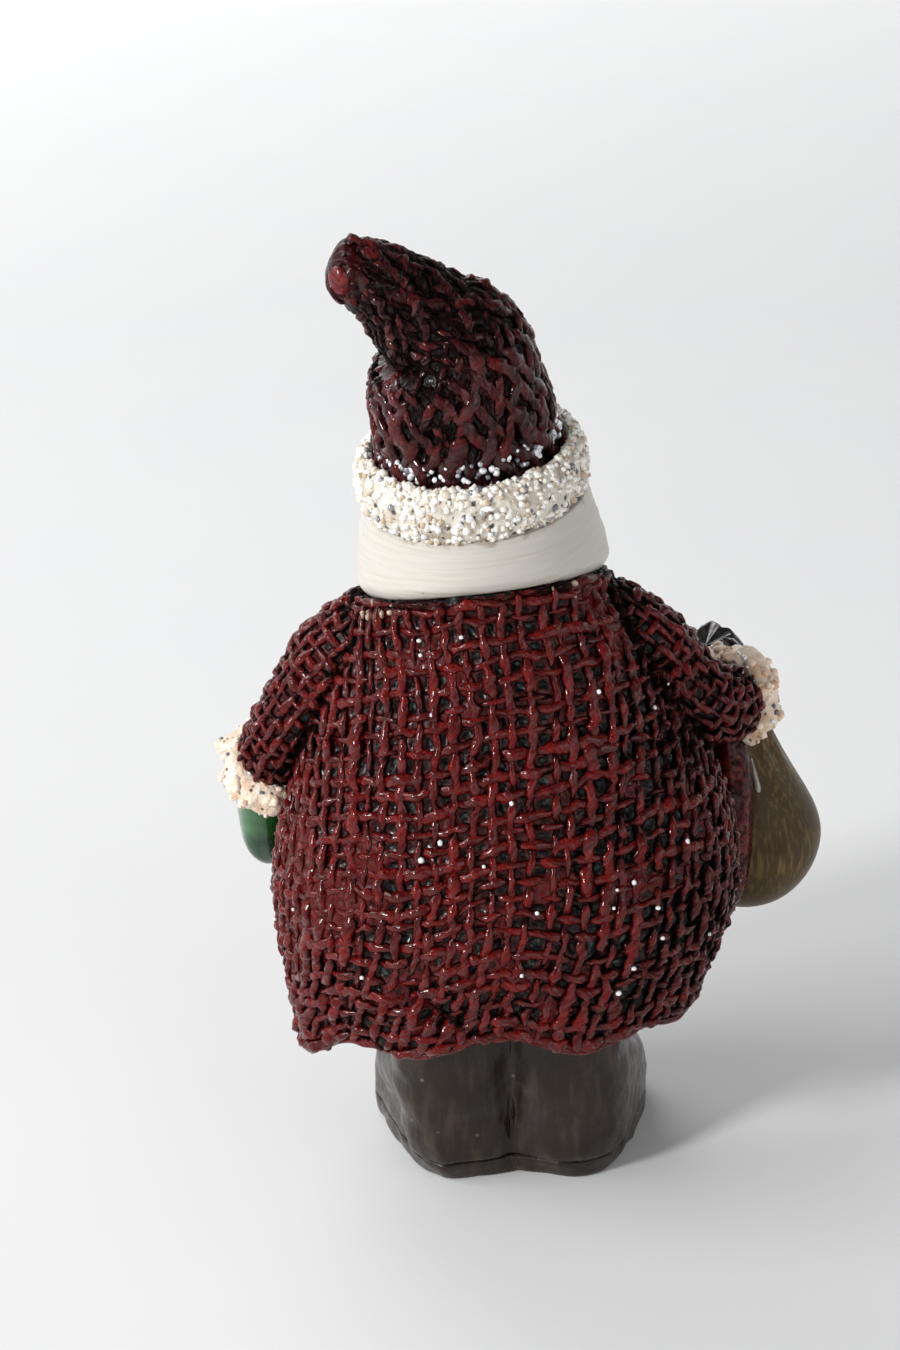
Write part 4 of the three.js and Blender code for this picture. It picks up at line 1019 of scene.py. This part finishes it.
def bandPlace(plan):  # a rolled band round the z axis
    thickness, ridge, seed = plan["thickness"], plan["ridge"], plan["seed"]
    middle, half = (plan["low"] + plan["high"]) / 2, (plan["high"] - plan["low"]) / 2

    def place(u, v):
        turn, roll = fullTurn * u, fullTurn * v
        spot = onRing(turn, 9, 3 * np.sin(roll))
        swell = 1 + ridge * (0.16 * lumps(spot, 4.2, seed) + 0.1 * lumps(spot, 1.8, seed + 1))
        fat = np.maximum(np.cos(roll), -0.35)
        radius = plan["inner"] + thickness * 0.35 + thickness * 0.65 * fat * swell
        height = middle + half * np.sin(roll) * (0.94 + 0.06 * swell)
        return onRing(turn, radius, height + ridge * 0.25 * lumps(spot, 5, seed + 2))

    return place


def bandSpots(place, count, band):  # spots on the outer half of a band
    u, v = rng.random(count), rng.uniform(*band, count)
    return place(u, v)


def pasteMaterial(name, look):
    material, tree, shader = startMaterial(name, 0.55, look["coat"])
    spot = objectPlace(tree)
    stain = remap(tree, noise(tree, spot, 0.4, 4.0), look["stainFrom"], 0.78)
    colour = mixColour(tree, stain, look["base"], look["stain"])
    pits = pitted(tree, spot, 0.85, look["pits"])
    # painted shade in the pits
    colour = mixColour(tree, pits["Mask"], colour, look["pit"])
    rough = noise(tree, spot, 1.6, 5.0)
    height = math2(tree, "ADD", rough, math2(tree, "MULTIPLY", pits["Height"], 0.6))
    join(tree, shader, colour, None, height, 0.8, 0.5)
    return material


def grainMaterial(name, look):
    material, tree, shader = startMaterial(name, 0.4, 0.5)
    tone = remap(tree, layerValue(tree, "tone"), 0.7, 0.95)
    colour = mixColour(tree, tone, look["pale"], look["tinted"])
    mottle = noise(tree, objectPlace(tree), 1.5, 3.0)
    shade = mixColour(tree, remap(tree, mottle, 0.3, 0.5), look["tinted"], colour)
    join(tree, shader, shade, remap(tree, mottle, 0.3, 0.7, 0.25, 0.6), mottle, 0.4, 0.1)
    return material


def beadMaterial(name):
    material, tree, shader = startMaterial(name, 0.15, 0.6)
    tone = layerValue(tree, "tone")
    colour = mixColour(tree, remap(tree, tone, 0.1, 0.75), (0.16, 0.16, 0.18), (0.92, 0.92, 0.94))
    join(tree, shader, colour, remap(tree, tone, 0.0, 1.0, 0.12, 0.3))
    shader.inputs["Metallic"].default_value = 0.35
    return material


snowPaints = {
    kind: (pasteMaterial(kind + " paste", look), grainMaterial(kind + " grain", look))
    for kind, look in snowLooks.items()
}
silverBead = beadMaterial("silver bead")


def pressTrim(node, kind, plan, shape, edgeSpots):  # shape has the band in its place on the figure
    pastePaint, grainPaint = snowPaints[kind]
    dressed(wrapSheet(node + "_paste", *plan["mesh"], shape), pastePaint, "snow_paste", node)
    spots = bandSpots(shape, plan["grains"], plan["grainBand"])
    grains = scatter(node + "_grains", spots, plan["grain"], 1, plan["flatten"])
    dressed(grains, grainPaint, "snow_paste")
    spots = np.concatenate((bandSpots(shape, plan["beads"], plan["beadBand"]), edgeSpots(plan["edgeBeads"])))
    dressed(scatter(node + "_beads", spots, plan["bead"], 2, 0.12), silverBead, "snow_paste")


def rimSpots(count):  # on the hat's lowest strands, just above its roll
    turn = fullTurn * rng.random(count)
    return hatSkin(turn, 0.2 + 0.042 * rng.random(count) ** 1.4, -0.25)


brimBand = bandPlace(snow["brim"])
pressTrim("hat_brim", "brim", snow["brim"], lambda u, v: onHead(brimBand(u, v)), rimSpots)


def trimCuff(side, arm):
    plan = dict(snow["cuff"], **snow[side])
    plan["inner"], plan["thickness"] = arm["wristRadius"] - plan["sunk"], plan["sunk"] + plan["proud"]
    band = bandPlace(plan)

    def shape(u, v):
        return band(u, v) @ arm["axes"] + arm["wrist"]

    pressTrim("cuff_" + side, "cuff", plan, shape, lambda count: bandSpots(shape, count, plan["edgeBand"]))


for side, arm in arms.items():
    trimCuff(side, arm)
print("snow trims pressed")


# Head, hair and beard

head = {
    "rows": [(-9, 8), (5.5, 11.8), (11.1, 10.0), (17.1, 9.9), (20, 8)],
    "features": {
        "cheek": (0.8, 5.6, 2.4, 4.4, 1.7), "socket": (-0.7, 4.2, 1.9, 6.9, 1.1),
        "lid": (0.5, 4.2, 1.7, 7.5, 0.5), "bag": (0.35, 4.2, 1.6, 5.7, 0.5),
        "bridge": (0.6, 0, 1.1, 7.2, 1.6),
    },  # swell, place beside the middle and its width, height and its width
    "look": {"paint": (0.66, 0.36, 0.25), "light": (0.74, 0.44, 0.32), "wash": (0.36, 0.14, 0.08),
             "scale": 0.12, "coat": 0.15, "cover": 0.75, "dull": 0.12, "relief": 0.08},
}
headAt = stationCurve(head["rows"])
headLow, headHigh = head["rows"][0][0], head["rows"][-1][0]


def facePoint(x, z, out):
    radius = headAt(z)[0] + out
    return stacked(x, -np.sqrt(radius * radius - np.square(x)), z)


def headPlace(u, v):
    turn, z = fullTurn * u, headLow + (headHigh - headLow) * v
    radius = headAt(z)[0]
    aside = np.abs(radius * np.cos(turn))
    swell = 0
    for size, beside, wide, height, tall in head["features"].values():
        swell = swell + size * bump((aside - beside) / wide) * bump((z - height) / tall)
    radius = radius + ramp(-np.sin(turn), 0.3, 0.7) * swell
    return onHead(onRing(turn, np.where(atPoles(v), 0, radius), z))


headPiece = wrapSheet("head_skin", 120, 90, headPlace)
dressed(headPiece, paintedMaterial("skin", head["look"]), "skin", "head")

hair = {
    "rows": [(-9, 16.2), (0, 16.2), (9.9, 14.3)], "front": math.radians(29), "thickness": 3,
    "base": (0.55, 0.52, 0.468), "line": (0.515, 0.478, 0.41), "pit": (0.10, 0.07, 0.05),
    "grime": (0.16, 0.10, 0.06),
}
hairAt = stationCurve(hair["rows"])
hairTop = hair["rows"][-1][0]


def onCollar(turn):  # the collar's height, seen from the head
    halfWidth, halfDepth, shift = coatAt(collarHeight)
    rim = stacked(shift + halfWidth * np.cos(turn), halfDepth * np.sin(turn), collarLine(turn))
    return fromHead(rim)[..., 2]


def hairPlace(u, v):
    turn = -hair["front"] + u * (np.pi + 2 * hair["front"])
    foot = onCollar(turn) - 0.2
    z = foot + (hairTop - foot) * v
    strands = 0.03 * np.sin(9 * turn + 2.1 * z) * ramp(np.abs(np.cos(turn)), 0.5, 1)
    combed = 0.05 * lumps(stacked(turn * 3, z * 2.2, 0 * z), 1, 44)
    tucked = -1.6 * nearEdge(z - foot, 2.6)
    uneven = 0.25 * lumps(stacked(turn * 8, z, 0 * z), 7, 45)
    return onHead(onRing(turn, hairAt(z)[0] + strands + combed + tucked + uneven, z))


hairPiece = wrapSheet(
    "hair_band", 120, 60, hairPlace,
    lay=lambda u, v, points: stacked(v * 19, 0 * v, u * 50),
    foot=lambda u, v, points: bump(v * 14) + 0.5 * bump((v - 1) * 8),
)
applied(hairPiece, "SOLIDIFY", thickness=hair["thickness"] * mm, offset=-1)
hairPaint, tree, shader = startMaterial("brushed white", 0.42, 0.2)
lines = brushed(tree, layerVector(tree, "lay"), 1.1, 14.0)
colour = mixColour(tree, lines["Mask"], hair["base"], hair["line"])
colour = mixColour(tree, pitted(tree, objectPlace(tree), 0.22, 0.09)["Mask"], colour, hair["pit"])
# darker brown towards the collar and just under the brim, in patches
grime = math2(tree, "SUBTRACT", noise(tree, objectPlace(tree), 0.6, 4.0), 0.5)
browned = math2(tree, "ADD", layerValue(tree, "foot"), grime)
colour = mixColour(tree, remap(tree, browned, 0.35, 0.9), colour, hair["grime"])
join(tree, shader, colour, None, lines["Height"], 0.05, 0.2)
dressed(hairPiece, hairPaint, "hair_white", "hair")

beard = {
    "rows": [(-27.5, -21, 2.4, 2.4), (-12, -16.5, 11.5, 6.8), (4, -7, 13.5, 7.5)], "locks": 15,
    "crown": 2.4, "whiskers": 6.6, "top": (0, -7, 2),
    "base": (0.72, 0.69, 0.63), "line": (0.55, 0.49, 0.40),
}
beardAt = stationCurve(beard["rows"])
beardFoot = beard["rows"][0][0]


def beardPlace(u, v):  # low under the nose, up into whiskers at the sides
    turn = fullTurn * u
    crown = beard["crown"] + beard["whiskers"] * np.abs(np.cos(turn)) ** 3
    z = beardFoot + (crown - beardFoot) * v
    y, halfWidth, halfDepth = beardAt(z)
    uneven = lumps(stacked(5 * np.cos(turn), z, 0 * z), 5, 46)
    curl = 1.6 * np.sin(0.42 * z + 3 * np.cos(turn)) + 1.2 * uneven
    wave = beard["locks"] * turn + curl
    locks = 0.55 * np.abs(np.sin(wave / 2)) + 0.16 * np.sin(3 * wave) - 0.3
    size = ramp(v, 0, 0.16) ** 0.5 * (1 - 0.16 * ramp(z, 3, 9))
    out = locks * ramp(v, 0.02, 0.2) - 1.1 * nearEdge(crown - z, 1.6)
    spot = stacked((halfWidth * size + out) * np.cos(turn), y + (halfDepth * size + out) * np.sin(turn), z)
    spot[v > 0.999] = beard["top"]
    return onHead(spot)


beardPiece = wrapSheet("beard_locks", 200, 90, beardPlace, lay=woundLayer(9, 31))
beardPaint, tree, shader = startMaterial("combed white", 0.45, 0.15)
lines = brushed(tree, layerVector(tree, "lay"), 1.4, 9.0)
colour = mixColour(tree, lines["Mask"], beard["base"], beard["line"])
join(tree, shader, colour, None, lines["Height"], 0.4, 0.3)
dressed(beardPiece, beardPaint, "hair_white", "beard")

# Moustache and eyebrows: places for the left side, mirrored for the right
locks = {
    "moustache": {"line": [(1.4, -14.5, 2.8), (6, -17.5, 3.2), (10.8, -14.4, -1.6)], "radii": (2.3, 0.5),
                  "grooves": 7, "mesh": (56, 40), "lay": (2, 9)},
    "eyebrow": {"line": [facePoint(2.0, 8.5, 0.3), facePoint(4.2, 9.6, 0.5), facePoint(6.6, 8.5, 0.3)],
                "radii": (0.8, 0.65), "grooves": 5, "mesh": (32, 24), "lay": (1, 5)},
}


def lockPlace(plan, sign):  # a tapered lock with combed grooves
    root, bend, tip = np.array(plan["line"]) * (sign, 1, 1)
    rootRadius, tipRadius = plan["radii"]

    def place(u, v):
        t, turn = v[:, None], fullTurn * u
        middle = (1 - t) ** 2 * root + 2 * t * (1 - t) * bend + t * t * tip
        along = unit(2 * (1 - t) * (bend - root) + 2 * t * (tip - bend))
        across = unit(np.cross(along, np.array((0, 0, 1.0))))
        radius = (rootRadius + (tipRadius - rootRadius) * v) * domed(2 * v - 1, 6)
        radius = radius * (1 + 0.1 * np.cos(plan["grooves"] * turn + 4 * v * sign))
        return onHead(middle + radius[:, None] * spoke(across, np.cross(across, along), turn))

    return place


for side, sign in signs.items():
    for name, plan in locks.items():
        node = name + "_" + side
        piece = wrapSheet(node + "_lock", *plan["mesh"], lockPlace(plan, sign), lay=woundLayer(*plan["lay"]))
        dressed(piece, beardPaint, "hair_white", node)

eyes = {
    "spot": (4.2, 6.6, -0.3), "half": (1.3, 0.9, 1.1),
    "look": {"paint": (0.012, 0.010, 0.012), "light": (0.03, 0.02, 0.02), "wash": (0.004, 0.004, 0.004),
             "scale": 0.6, "coat": 1.0, "cover": 0.7, "relief": 0.02, "dull": -0.15},
}
nose = {
    "spot": (0.0, 5.2, 0.8), "half": (2.1, 2.1, 1.9),
    "look": {"paint": (0.62, 0.26, 0.19), "light": (0.72, 0.34, 0.25), "wash": (0.40, 0.13, 0.09),
             "scale": 0.3, "coat": 0.3, "cover": 0.8, "relief": 0.06},
}


def nosePlace(u, v):  # wings on both sides, below the middle
    x, y, z = (onBall(u, v) * nose["half"]).T
    wing = 0.45 * bump((np.abs(x) - 1.5) / 0.7) * bump((z + 0.8) / 0.8)
    spot = stacked(x * (1 + 0.35 * wing), y - 0.3 * wing, z * np.where(z > 0, 1.25, 0.95))
    return onHead(facePoint(*nose["spot"]) + spot)


eyePaint = paintedMaterial("eye gloss", eyes["look"])
for side, sign in signs.items():
    middle = facePoint(*eyes["spot"]) * (sign, 1, 1)
    piece = wrapSheet(
        "eye_" + side + "_bead", 24, 16, lambda u, v: onHead(middle + onBall(u, v) * eyes["half"]),
    )
    dressed(piece, eyePaint, "eye_black", "eye_" + side)
nosePiece = wrapSheet("nose_round", 40, 28, nosePlace)
dressed(nosePiece, paintedMaterial("rosy nose", nose["look"]), "rosy_skin", "nose")
print("head modelled")


# Mittens: the thumb has its turn round the hand and its distance from the middle

hands = {
    "left": {"neck": 3.3, "half": (3.8, 4.6), "swell": 5, "length": 14, "dome": 6, "thumb": (90, 4.6)},
    "right": {"neck": 3.7, "half": (5, 5), "swell": 5, "length": 10.5, "dome": 5, "thumb": (180, 5)},
}
handRoot = -3.5
thumb = {"radius": 1.7, "from": -2, "length": 8.2, "sunk": 1.4, "root": 5, "lean": math.radians(25)}
mittenLook = {"paint": (0.004, 0.035, 0.009), "light": (0.014, 0.11, 0.022),
              "wash": (0.003, 0.008, 0.004), "scale": 0.12, "coat": 1.0, "cover": 0.95, "relief": 0.2,
              "grit": 0.4}
mittenPaint = paintedMaterial("mitten gloss", mittenLook)


def handPlace(plan, arm):
    def place(u, v):
        turn = fullTurn * u
        z = handRoot + (plan["length"] - handRoot) * v
        grown = ramp(z, handRoot, plan["swell"] + handRoot)
        size = domed(np.clip((z - plan["length"] + plan["dome"]) / plan["dome"], 0, 1), 2.2)
        half = [(plan["neck"] + (h - plan["neck"]) * grown) * size for h in plan["half"]]
        spot = stacked(half[0] * np.cos(turn), half[1] * np.sin(turn), z)
        spot = spot * (1 + 0.03 * lumps(spot, 4, 52)[:, None])
        return spot @ arm["handAxes"] + arm["palm"]

    return place


def thumbPlace(plan, arm):
    where, edge = math.radians(plan["thumb"][0]), plan["thumb"][1] - thumb["sunk"]
    ahead, aside = math.cos(where), math.sin(where)
    c, s = math.cos(thumb["lean"]), math.sin(thumb["lean"])

    def place(u, v):
        z = thumb["from"] + thumb["length"] * v
        x, y, _ = onRing(fullTurn * u, thumb["radius"] * domed(2 * v - 1, 4), z).T
        out = edge + x * c + z * s
        along = thumb["root"] - x * s + z * c
        spot = stacked(out * ahead - y * aside, out * aside + y * ahead, along)
        return spot @ arm["handAxes"] + arm["palm"]

    return place


for side, arm in arms.items():
    node = "mitten_" + side
    palm = wrapSheet(node + "_palm", 48, 44, handPlace(hands[side], arm))
    dressed(palm, mittenPaint, "mitten_green", node)
    thumbPiece = wrapSheet(node + "_thumb", 28, 24, thumbPlace(hands[side], arm))
    dressed(thumbPiece, mittenPaint, "mitten_green")
print("mittens modelled")


# Sack, with its gathered mouth above the fist and the rib that bonds it to the coat

gripReach = 5.5
grip = arms["right"]["palm"] + arms["right"]["handWay"] * gripReach
sack = {
    "drop": 32.5, "bellyDrop": 22, "belly": 10.6, "neck": 3, "lean": -1.2, "pleats": 11,
    "olive": (0.046, 0.027, 0.011), "lightOlive": (0.075, 0.047, 0.019), "gold": (0.19, 0.13, 0.05),
}


def sackPlace(u, v):
    turn, down = fullTurn * u, sack["drop"] * v
    share = ramp(down, 0, sack["bellyDrop"])
    closing = np.clip((down - sack["bellyDrop"]) / (sack["drop"] - sack["bellyDrop"]), 0, 1)
    closed = domed(closing, 2)
    pleat = np.cos(sack["pleats"] * turn + 0.8 * np.sin(3 * turn)) * bump((down - 4) / 6)
    uneven = lumps(onRing(turn, 6, down), 7, 55) * closed
    radius = (sack["neck"] + (sack["belly"] - sack["neck"]) * share) * closed + 0.45 * pleat + 0.25 * uneven
    return grip + onRing(turn, radius, -down) + stacked(sack["lean"] * share, 0, 0)


# olive with fine golden dry brushing down the folds
sackPaint, tree, shader = startMaterial("sack olive", 0.4, 0.06, specular=0.12)
spot = objectPlace(tree)
lines = brushed(tree, spot, 1.9, 7.0)
patch = noise(tree, spot, 0.12, 3.0)
base = mixColour(tree, remap(tree, patch, 0.3, 0.7), sack["olive"], sack["lightOlive"])
amount = math2(tree, "MULTIPLY", lines["Mask"], remap(tree, patch, 0.35, 0.65, 0.25, 0.8))
colour = mixColour(tree, amount, base, sack["gold"])
join(tree, shader, colour, remap(tree, lines["Mask"], 0, 1, 0.35, 0.55), lines["Height"], 0.35, 0.2)
dressed(wrapSheet("sack_bag", 100, 80, sackPlace), sackPaint, "sack_olive", "sack")

drip = {
    "turn": math.radians(104), "from": 8.0, "to": 12.5, "half": 0.55,
    "look": {"first": (0.36, 0.33, 0.29), "second": (0.16, 0.13, 0.10), "rough": 0.15, "coat": 1.0,
             "specular": 0.5, "scale": 0.6, "detail": 2.0, "edge": (0.35, 0.65)},
}


def dripPlace(u, v):  # a run of clear size down the back of the sack, thickest at its foot
    down = drip["from"] + (drip["to"] - drip["from"]) * v
    middle = sackPlace(0 * u + drip["turn"] / fullTurn, down / sack["drop"])
    half = drip["half"] * (0.4 + 0.6 * v) * domed(2 * v - 1, 4)
    return middle + onRing(fullTurn * u, half, 0 * v)


# pale grey: the clear size, painted pale as its highlight
dripGlintPaint = mottledMaterial("dried size", drip["look"])
dressed(wrapSheet("sack_drip", 20, 24, dripPlace), dripGlintPaint, "snow_paste")

ruffle = {
    "foot": -2.5, "rise": 8, "neck": 3, "mouth": 3.6, "folds": 7, "depth": 0.55, "lean": 4,
    "look": {"paint": (0.008, 0.007, 0.008), "light": (0.03, 0.02, 0.02), "wash": (0.003, 0.003, 0.003),
             "scale": 0.4, "coat": 0.9, "cover": 0.6, "relief": 0.3},
}


def rufflePlace(u, v):  # up to the mouth, then closed inside it
    turn = fullTurn * u
    up, inside = np.clip(v / 0.7, 0, 1), np.clip((v - 0.7) / 0.3, 0, 1)
    gathers = np.cos(ruffle["folds"] * turn + 0.7 * np.sin(2 * turn)) + 0.3 * np.cos(17 * turn)
    radius = ruffle["neck"] + (ruffle["mouth"] - ruffle["neck"]) * up**2 + ruffle["depth"] * up * gathers
    wave = 0.4 * np.cos(3 * turn) * up * (1 - inside)
    z = ruffle["foot"] + (ruffle["rise"] - ruffle["foot"]) * up - 1.6 * inside + wave
    return grip + onRing(turn, radius * (1 - inside), z) + stacked(ruffle["lean"] * up**3, 0, 0)


rufflePiece = wrapSheet("sack_ruffle_mouth", 112, 40, rufflePlace)
dressed(rufflePiece, paintedMaterial("ruffle black", ruffle["look"]), "ruffle_black", "sack_ruffle")

web = {
    "spot": (-31.2, -9, 29), "half": (3.3, 4.6), "height": 29, "end": 0.7,
    "look": {"paint": (0.04, 0.002, 0.002), "light": (0.11, 0.006, 0.005), "wash": (0.01, 0.002, 0.002),
             "scale": 0.3, "coat": 0.6, "cover": 0.45, "specular": 0.06, "relief": 0.8, "grit": 0.7},
}


def webPlace(u, v):
    turn = fullTurn * u
    size = domed(2 * v - 1, 5) * (web["end"] + (1 - web["end"]) * np.sin(np.pi * v))
    size = size * (1 + 0.06 * lumps(onRing(turn, 1, 4 * v), 1.0, 57))
    return web["spot"] + onRing(turn, size, v) * (*web["half"], web["height"])


webPiece = wrapSheet("sack_rib", 40, 40, webPlace)
dressed(webPiece, paintedMaterial("rib red", web["look"]), "red_gloss", "sack_web")
print("sack modelled")


# Boots: moulded side by side, with a groove between them and a sole line

boots = {
    "rows": [
        (0, -6.1, 9.31, 15.1), (3, -6.1, 9.8, 15.9), (9, -4.6, 9.8, 14.4), (15, 0, 9, 9.4),
        (34.8, 0, 9, 9.4),
    ],  # height, place along y, half width, half length
    "square": 0.8, "heelSquare": 0.68, "innerSquare": 0.36, "taper": {1: 2.2, -1: 0.9},
    "spread": 8.2, "splay": math.radians(10), "solder": 0.15, "groove": 2.6, "grooveHalf": 2.9,
    "knocks": {1: (0.6, 9.8), -1: (4.1, 12.5)},
    "parts": {
        "boot": {"end": "_upper", "mesh": (96, 70), "low": 3.02, "high": 27, "edge": 0.16},
        "sole": {"end": "_welt", "mesh": (96, 20), "low": 0.0, "high": 3.0, "edge": 0.2},
    },
    "dark": (0.019, 0.012, 0.008), "worn": (0.036, 0.024, 0.016), "scuff": (0.12, 0.10, 0.085),
}
bootAt = stationCurve(boots["rows"])


def bootPlace(sign, plan):
    low, high = plan["low"], plan["high"]
    knockX, knockZ = boots["knocks"][sign]
    c, s = math.cos(sign * boots["splay"]), math.sin(sign * boots["splay"])

    def place(u, v):
        turn = fullTurn * u
        side, back = np.cos(turn), np.sin(turn)
        z = low + (high - low) * v
        middle, halfWidth, halfLength = bootAt(z)
        inner = ramp(-sign * side, 0, 0.5)
        outer = ramp(sign * side, 0, 0.5) * ramp(-z, -14, -8) * ramp(back, -0.6, 0.5)
        heelSquare = boots["heelSquare"] - boots["innerSquare"] * inner
        square = np.where(back > 0, heelSquare, boots["square"])
        heel = 0.5 * bump((z - 7) / 3) - 0.5 * nearEdge(z, 5) - 0.3 * bump((z - 14) / 2.5)
        heel = heel * ramp(back, 0, 0.6)
        halfWidth = halfWidth - boots["taper"][sign] * outer + heel
        x = halfWidth * np.sign(side) * np.abs(side) ** square
        y = middle + (halfLength + heel) * np.sign(back) * np.abs(back) ** square

        # lumps of the casting, a knock at the back, a wrinkle at the ankle and the sole's edge
        soft = stacked(x + sign * 40, y, z)
        swell = 0.55 * lumps(soft, 6, 58) + 0.28 * lumps(soft, 2.4, 59)
        swell = swell + 0.5 * bump((x - knockX) / 1.2) * bump(z - knockZ) * ramp(back, 0, 0.4)
        swell = swell - 0.35 * bump(z - 13.5 - 1.2 * np.sin(turn * 2)) * ramp(-back, -0.2, 0.8)
        swell = swell - plan["edge"] * 0.8 * nearEdge(np.minimum(z - low, high - z), 0.9)
        x = np.where(atPoles(v), 0, x + side * swell)
        y = np.where(atPoles(v), middle, y + back * swell)

        # turned out, pressed together in the middle and grooved there
        level = 1 - inner * ramp(back, 0, 0.5)
        x, y = x * c - y * s + sign * boots["spread"], x * s * level + y * c + legSetback
        groove = boots["groove"] * bump(x / boots["grooveHalf"]) * ramp(back, 0, 0.4)
        inward = sign * x - boots["solder"]
        x = sign * (boots["solder"] + 0.5 * (inward + np.sqrt(inward**2 + 0.9)) - 0.6)
        return stacked(x, y - groove * (0.3 + 0.7 * ramp(z, 1, 6)), z)

    return place


# brushed umber, rubbed pale in a few spots
bootPaint, tree, shader = startMaterial("boot umber", 0.4, 0.3, 0.2, 0.15)
spot = objectPlace(tree)
lines = brushed(tree, spot, 0.7, 5.0)
colour = mixColour(tree, lines["Mask"], boots["dark"], boots["worn"])
colour = mixColour(tree, pitted(tree, spot, 0.4, 0.14)["Mask"], colour, boots["scuff"])
grain = noise(tree, spot, 0.45, 5.0)
height = math2(tree, "ADD", grain, math2(tree, "MULTIPLY", lines["Height"], 0.4))
join(tree, shader, colour, remap(tree, grain, 0.3, 0.7, 0.24, 0.45), height, 0.7, 0.5)
for side, sign in signs.items():
    for name, plan in boots["parts"].items():
        node = name + "_" + side
        piece = wrapSheet(node + plan["end"], *plan["mesh"], bootPlace(sign, plan))
        dressed(piece, bootPaint, "boot_umber", node)
print("boots modelled")


# Castings and dowels inside keep their solids

innerLooks = {
    "cast_resin": {"paint": (0.016, 0.009, 0.009), "light": (0.03, 0.016, 0.015),
                   "wash": (0.006, 0.004, 0.004), "scale": 0.2, "coat": 0.0, "cover": 0.7, "dull": 0.25},
    "beech": {"paint": (0.42, 0.26, 0.13), "light": (0.55, 0.37, 0.20),
              "wash": (0.25, 0.13, 0.06), "scale": 0.5, "coat": 0.0, "cover": 0.7, "dull": 0.25},
}
innerPaint = {slot: paintedMaterial(slot.replace("_", " "), look) for slot, look in innerLooks.items()}
for name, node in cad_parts.items():
    if not node.hide_render:
        node.data.materials.clear()
        node.data.materials.append(innerPaint["beech" if "dowel" in name or "pin" in name else "cast_resin"])


# Camera, light and floor

photo = {"target": (-2, 0, 62), "distance": 420, "elevation": math.radians(24), "roll": math.radians(2.5),
         "lens": 85.1, "sensor": 36, "width": 900, "height": 1350, "spot": (512, 720)}
pixelLens = photo["lens"] / photo["sensor"] * photo["height"]
target = Vector((photo["target"] + figureSpot) * mm)
back = Vector((0, math.cos(photo["elevation"]), math.sin(photo["elevation"])))
right = (-back).cross(Vector((0, 0, 1))).normalized()
up = right.cross(-back)
offset = Vector((photo["spot"][0] - photo["width"] / 2, photo["height"] / 2 - photo["spot"][1]))
offset.rotate(Matrix.Rotation(-photo["roll"], 2))
reach = photo["distance"] * mm
aim = target - (right * offset.x + up * offset.y) / pixelLens * reach
bpy.ops.object.camera_add(location=target + back * reach)
camera = bpy.context.object
camera.rotation_mode = "QUATERNION"
facing = (aim - camera.location).to_track_quat("-Z", "Y")
camera.rotation_quaternion = facing @ Quaternion((0, 0, 1), -photo["roll"])
camera.data.lens = photo["lens"]
camera.data.sensor_width = photo["sensor"]
camera.data.clip_start = 0.01
bpy.context.scene.camera = camera

# Lamps and paper are in metres
lights = {
    "window": {"place": (0.95, 0.1, 0.8), "size": 0.7, "power": 6.5},
    "glint": {"place": (0.95, 0.72, 0.62), "size": 0.22, "power": 11},
    "fill": {"place": (-0.8, 0.8, 0.6), "size": 0.8, "power": 1.7},
    "backdrop": {"place": (0.5, -1.1, 0.9), "size": 0.9, "power": 8},
}
lampTarget = Vector((0, 0, 0.06))
for name, plan in lights.items():
    bpy.ops.object.light_add(type="AREA", location=plan["place"])
    lamp = named(name)
    lamp.data.size = plan["size"]
    lamp.data.energy = plan["power"]
    lamp.rotation_euler = (lampTarget - lamp.location).to_track_quat("-Z", "Y").to_euler()

world = bpy.data.worlds.new("studio")
bpy.context.scene.world = world
world.use_nodes = True
sky = {"Color": (0.95, 0.97, 1.0), "Strength": 0.2}
setInputs(world.node_tree, world.node_tree.nodes["Background"], sky)

# Seamless paper: flat under the figure, swept up all round far behind it, glowing there
sweep = {
    "size": 7, "mesh": (120, 120), "flat": 1.1, "reach": 2.2, "rise": 1.3,
    "glow": 0.47, "glowFrom": 0.4, "glowReach": 1.2,
    "look": {"first": (0.80, 0.80, 0.805), "second": (0.81, 0.81, 0.81), "rough": 0.7, "coat": 0.0,
             "specular": 0.2, "scale": 0.02, "detail": 2.0, "edge": (0.3, 0.7)},
}
floor, _, _ = addGrid("floor", *sweep["mesh"], sweep["size"])
flat = readPoints(floor)
away = np.hypot(flat[:, 0], flat[:, 1])
flat[:, 2] = sweep["rise"] * np.clip((away - sweep["flat"]) / sweep["reach"], 0, 1.2) ** 2
floor.data.vertices.foreach_set("co", flat.ravel())
paint(floor, "away", np.clip((away - sweep["glowFrom"]) / sweep["glowReach"], 0, 1))
bpy.ops.object.shade_smooth()
paper = mottledMaterial("floor paper", sweep["look"])
tree = paper.node_tree
glow = mixColour(tree, layerValue(tree, "away"), (0, 0, 0), (1, 1, 1))
setInputs(tree, tree.nodes["Principled BSDF"], {"Emission Color": glow, "Emission Strength": sweep["glow"]})
floor.data.materials.append(paper)
bpy.context.scene.view_settings.view_transform = "Standard"
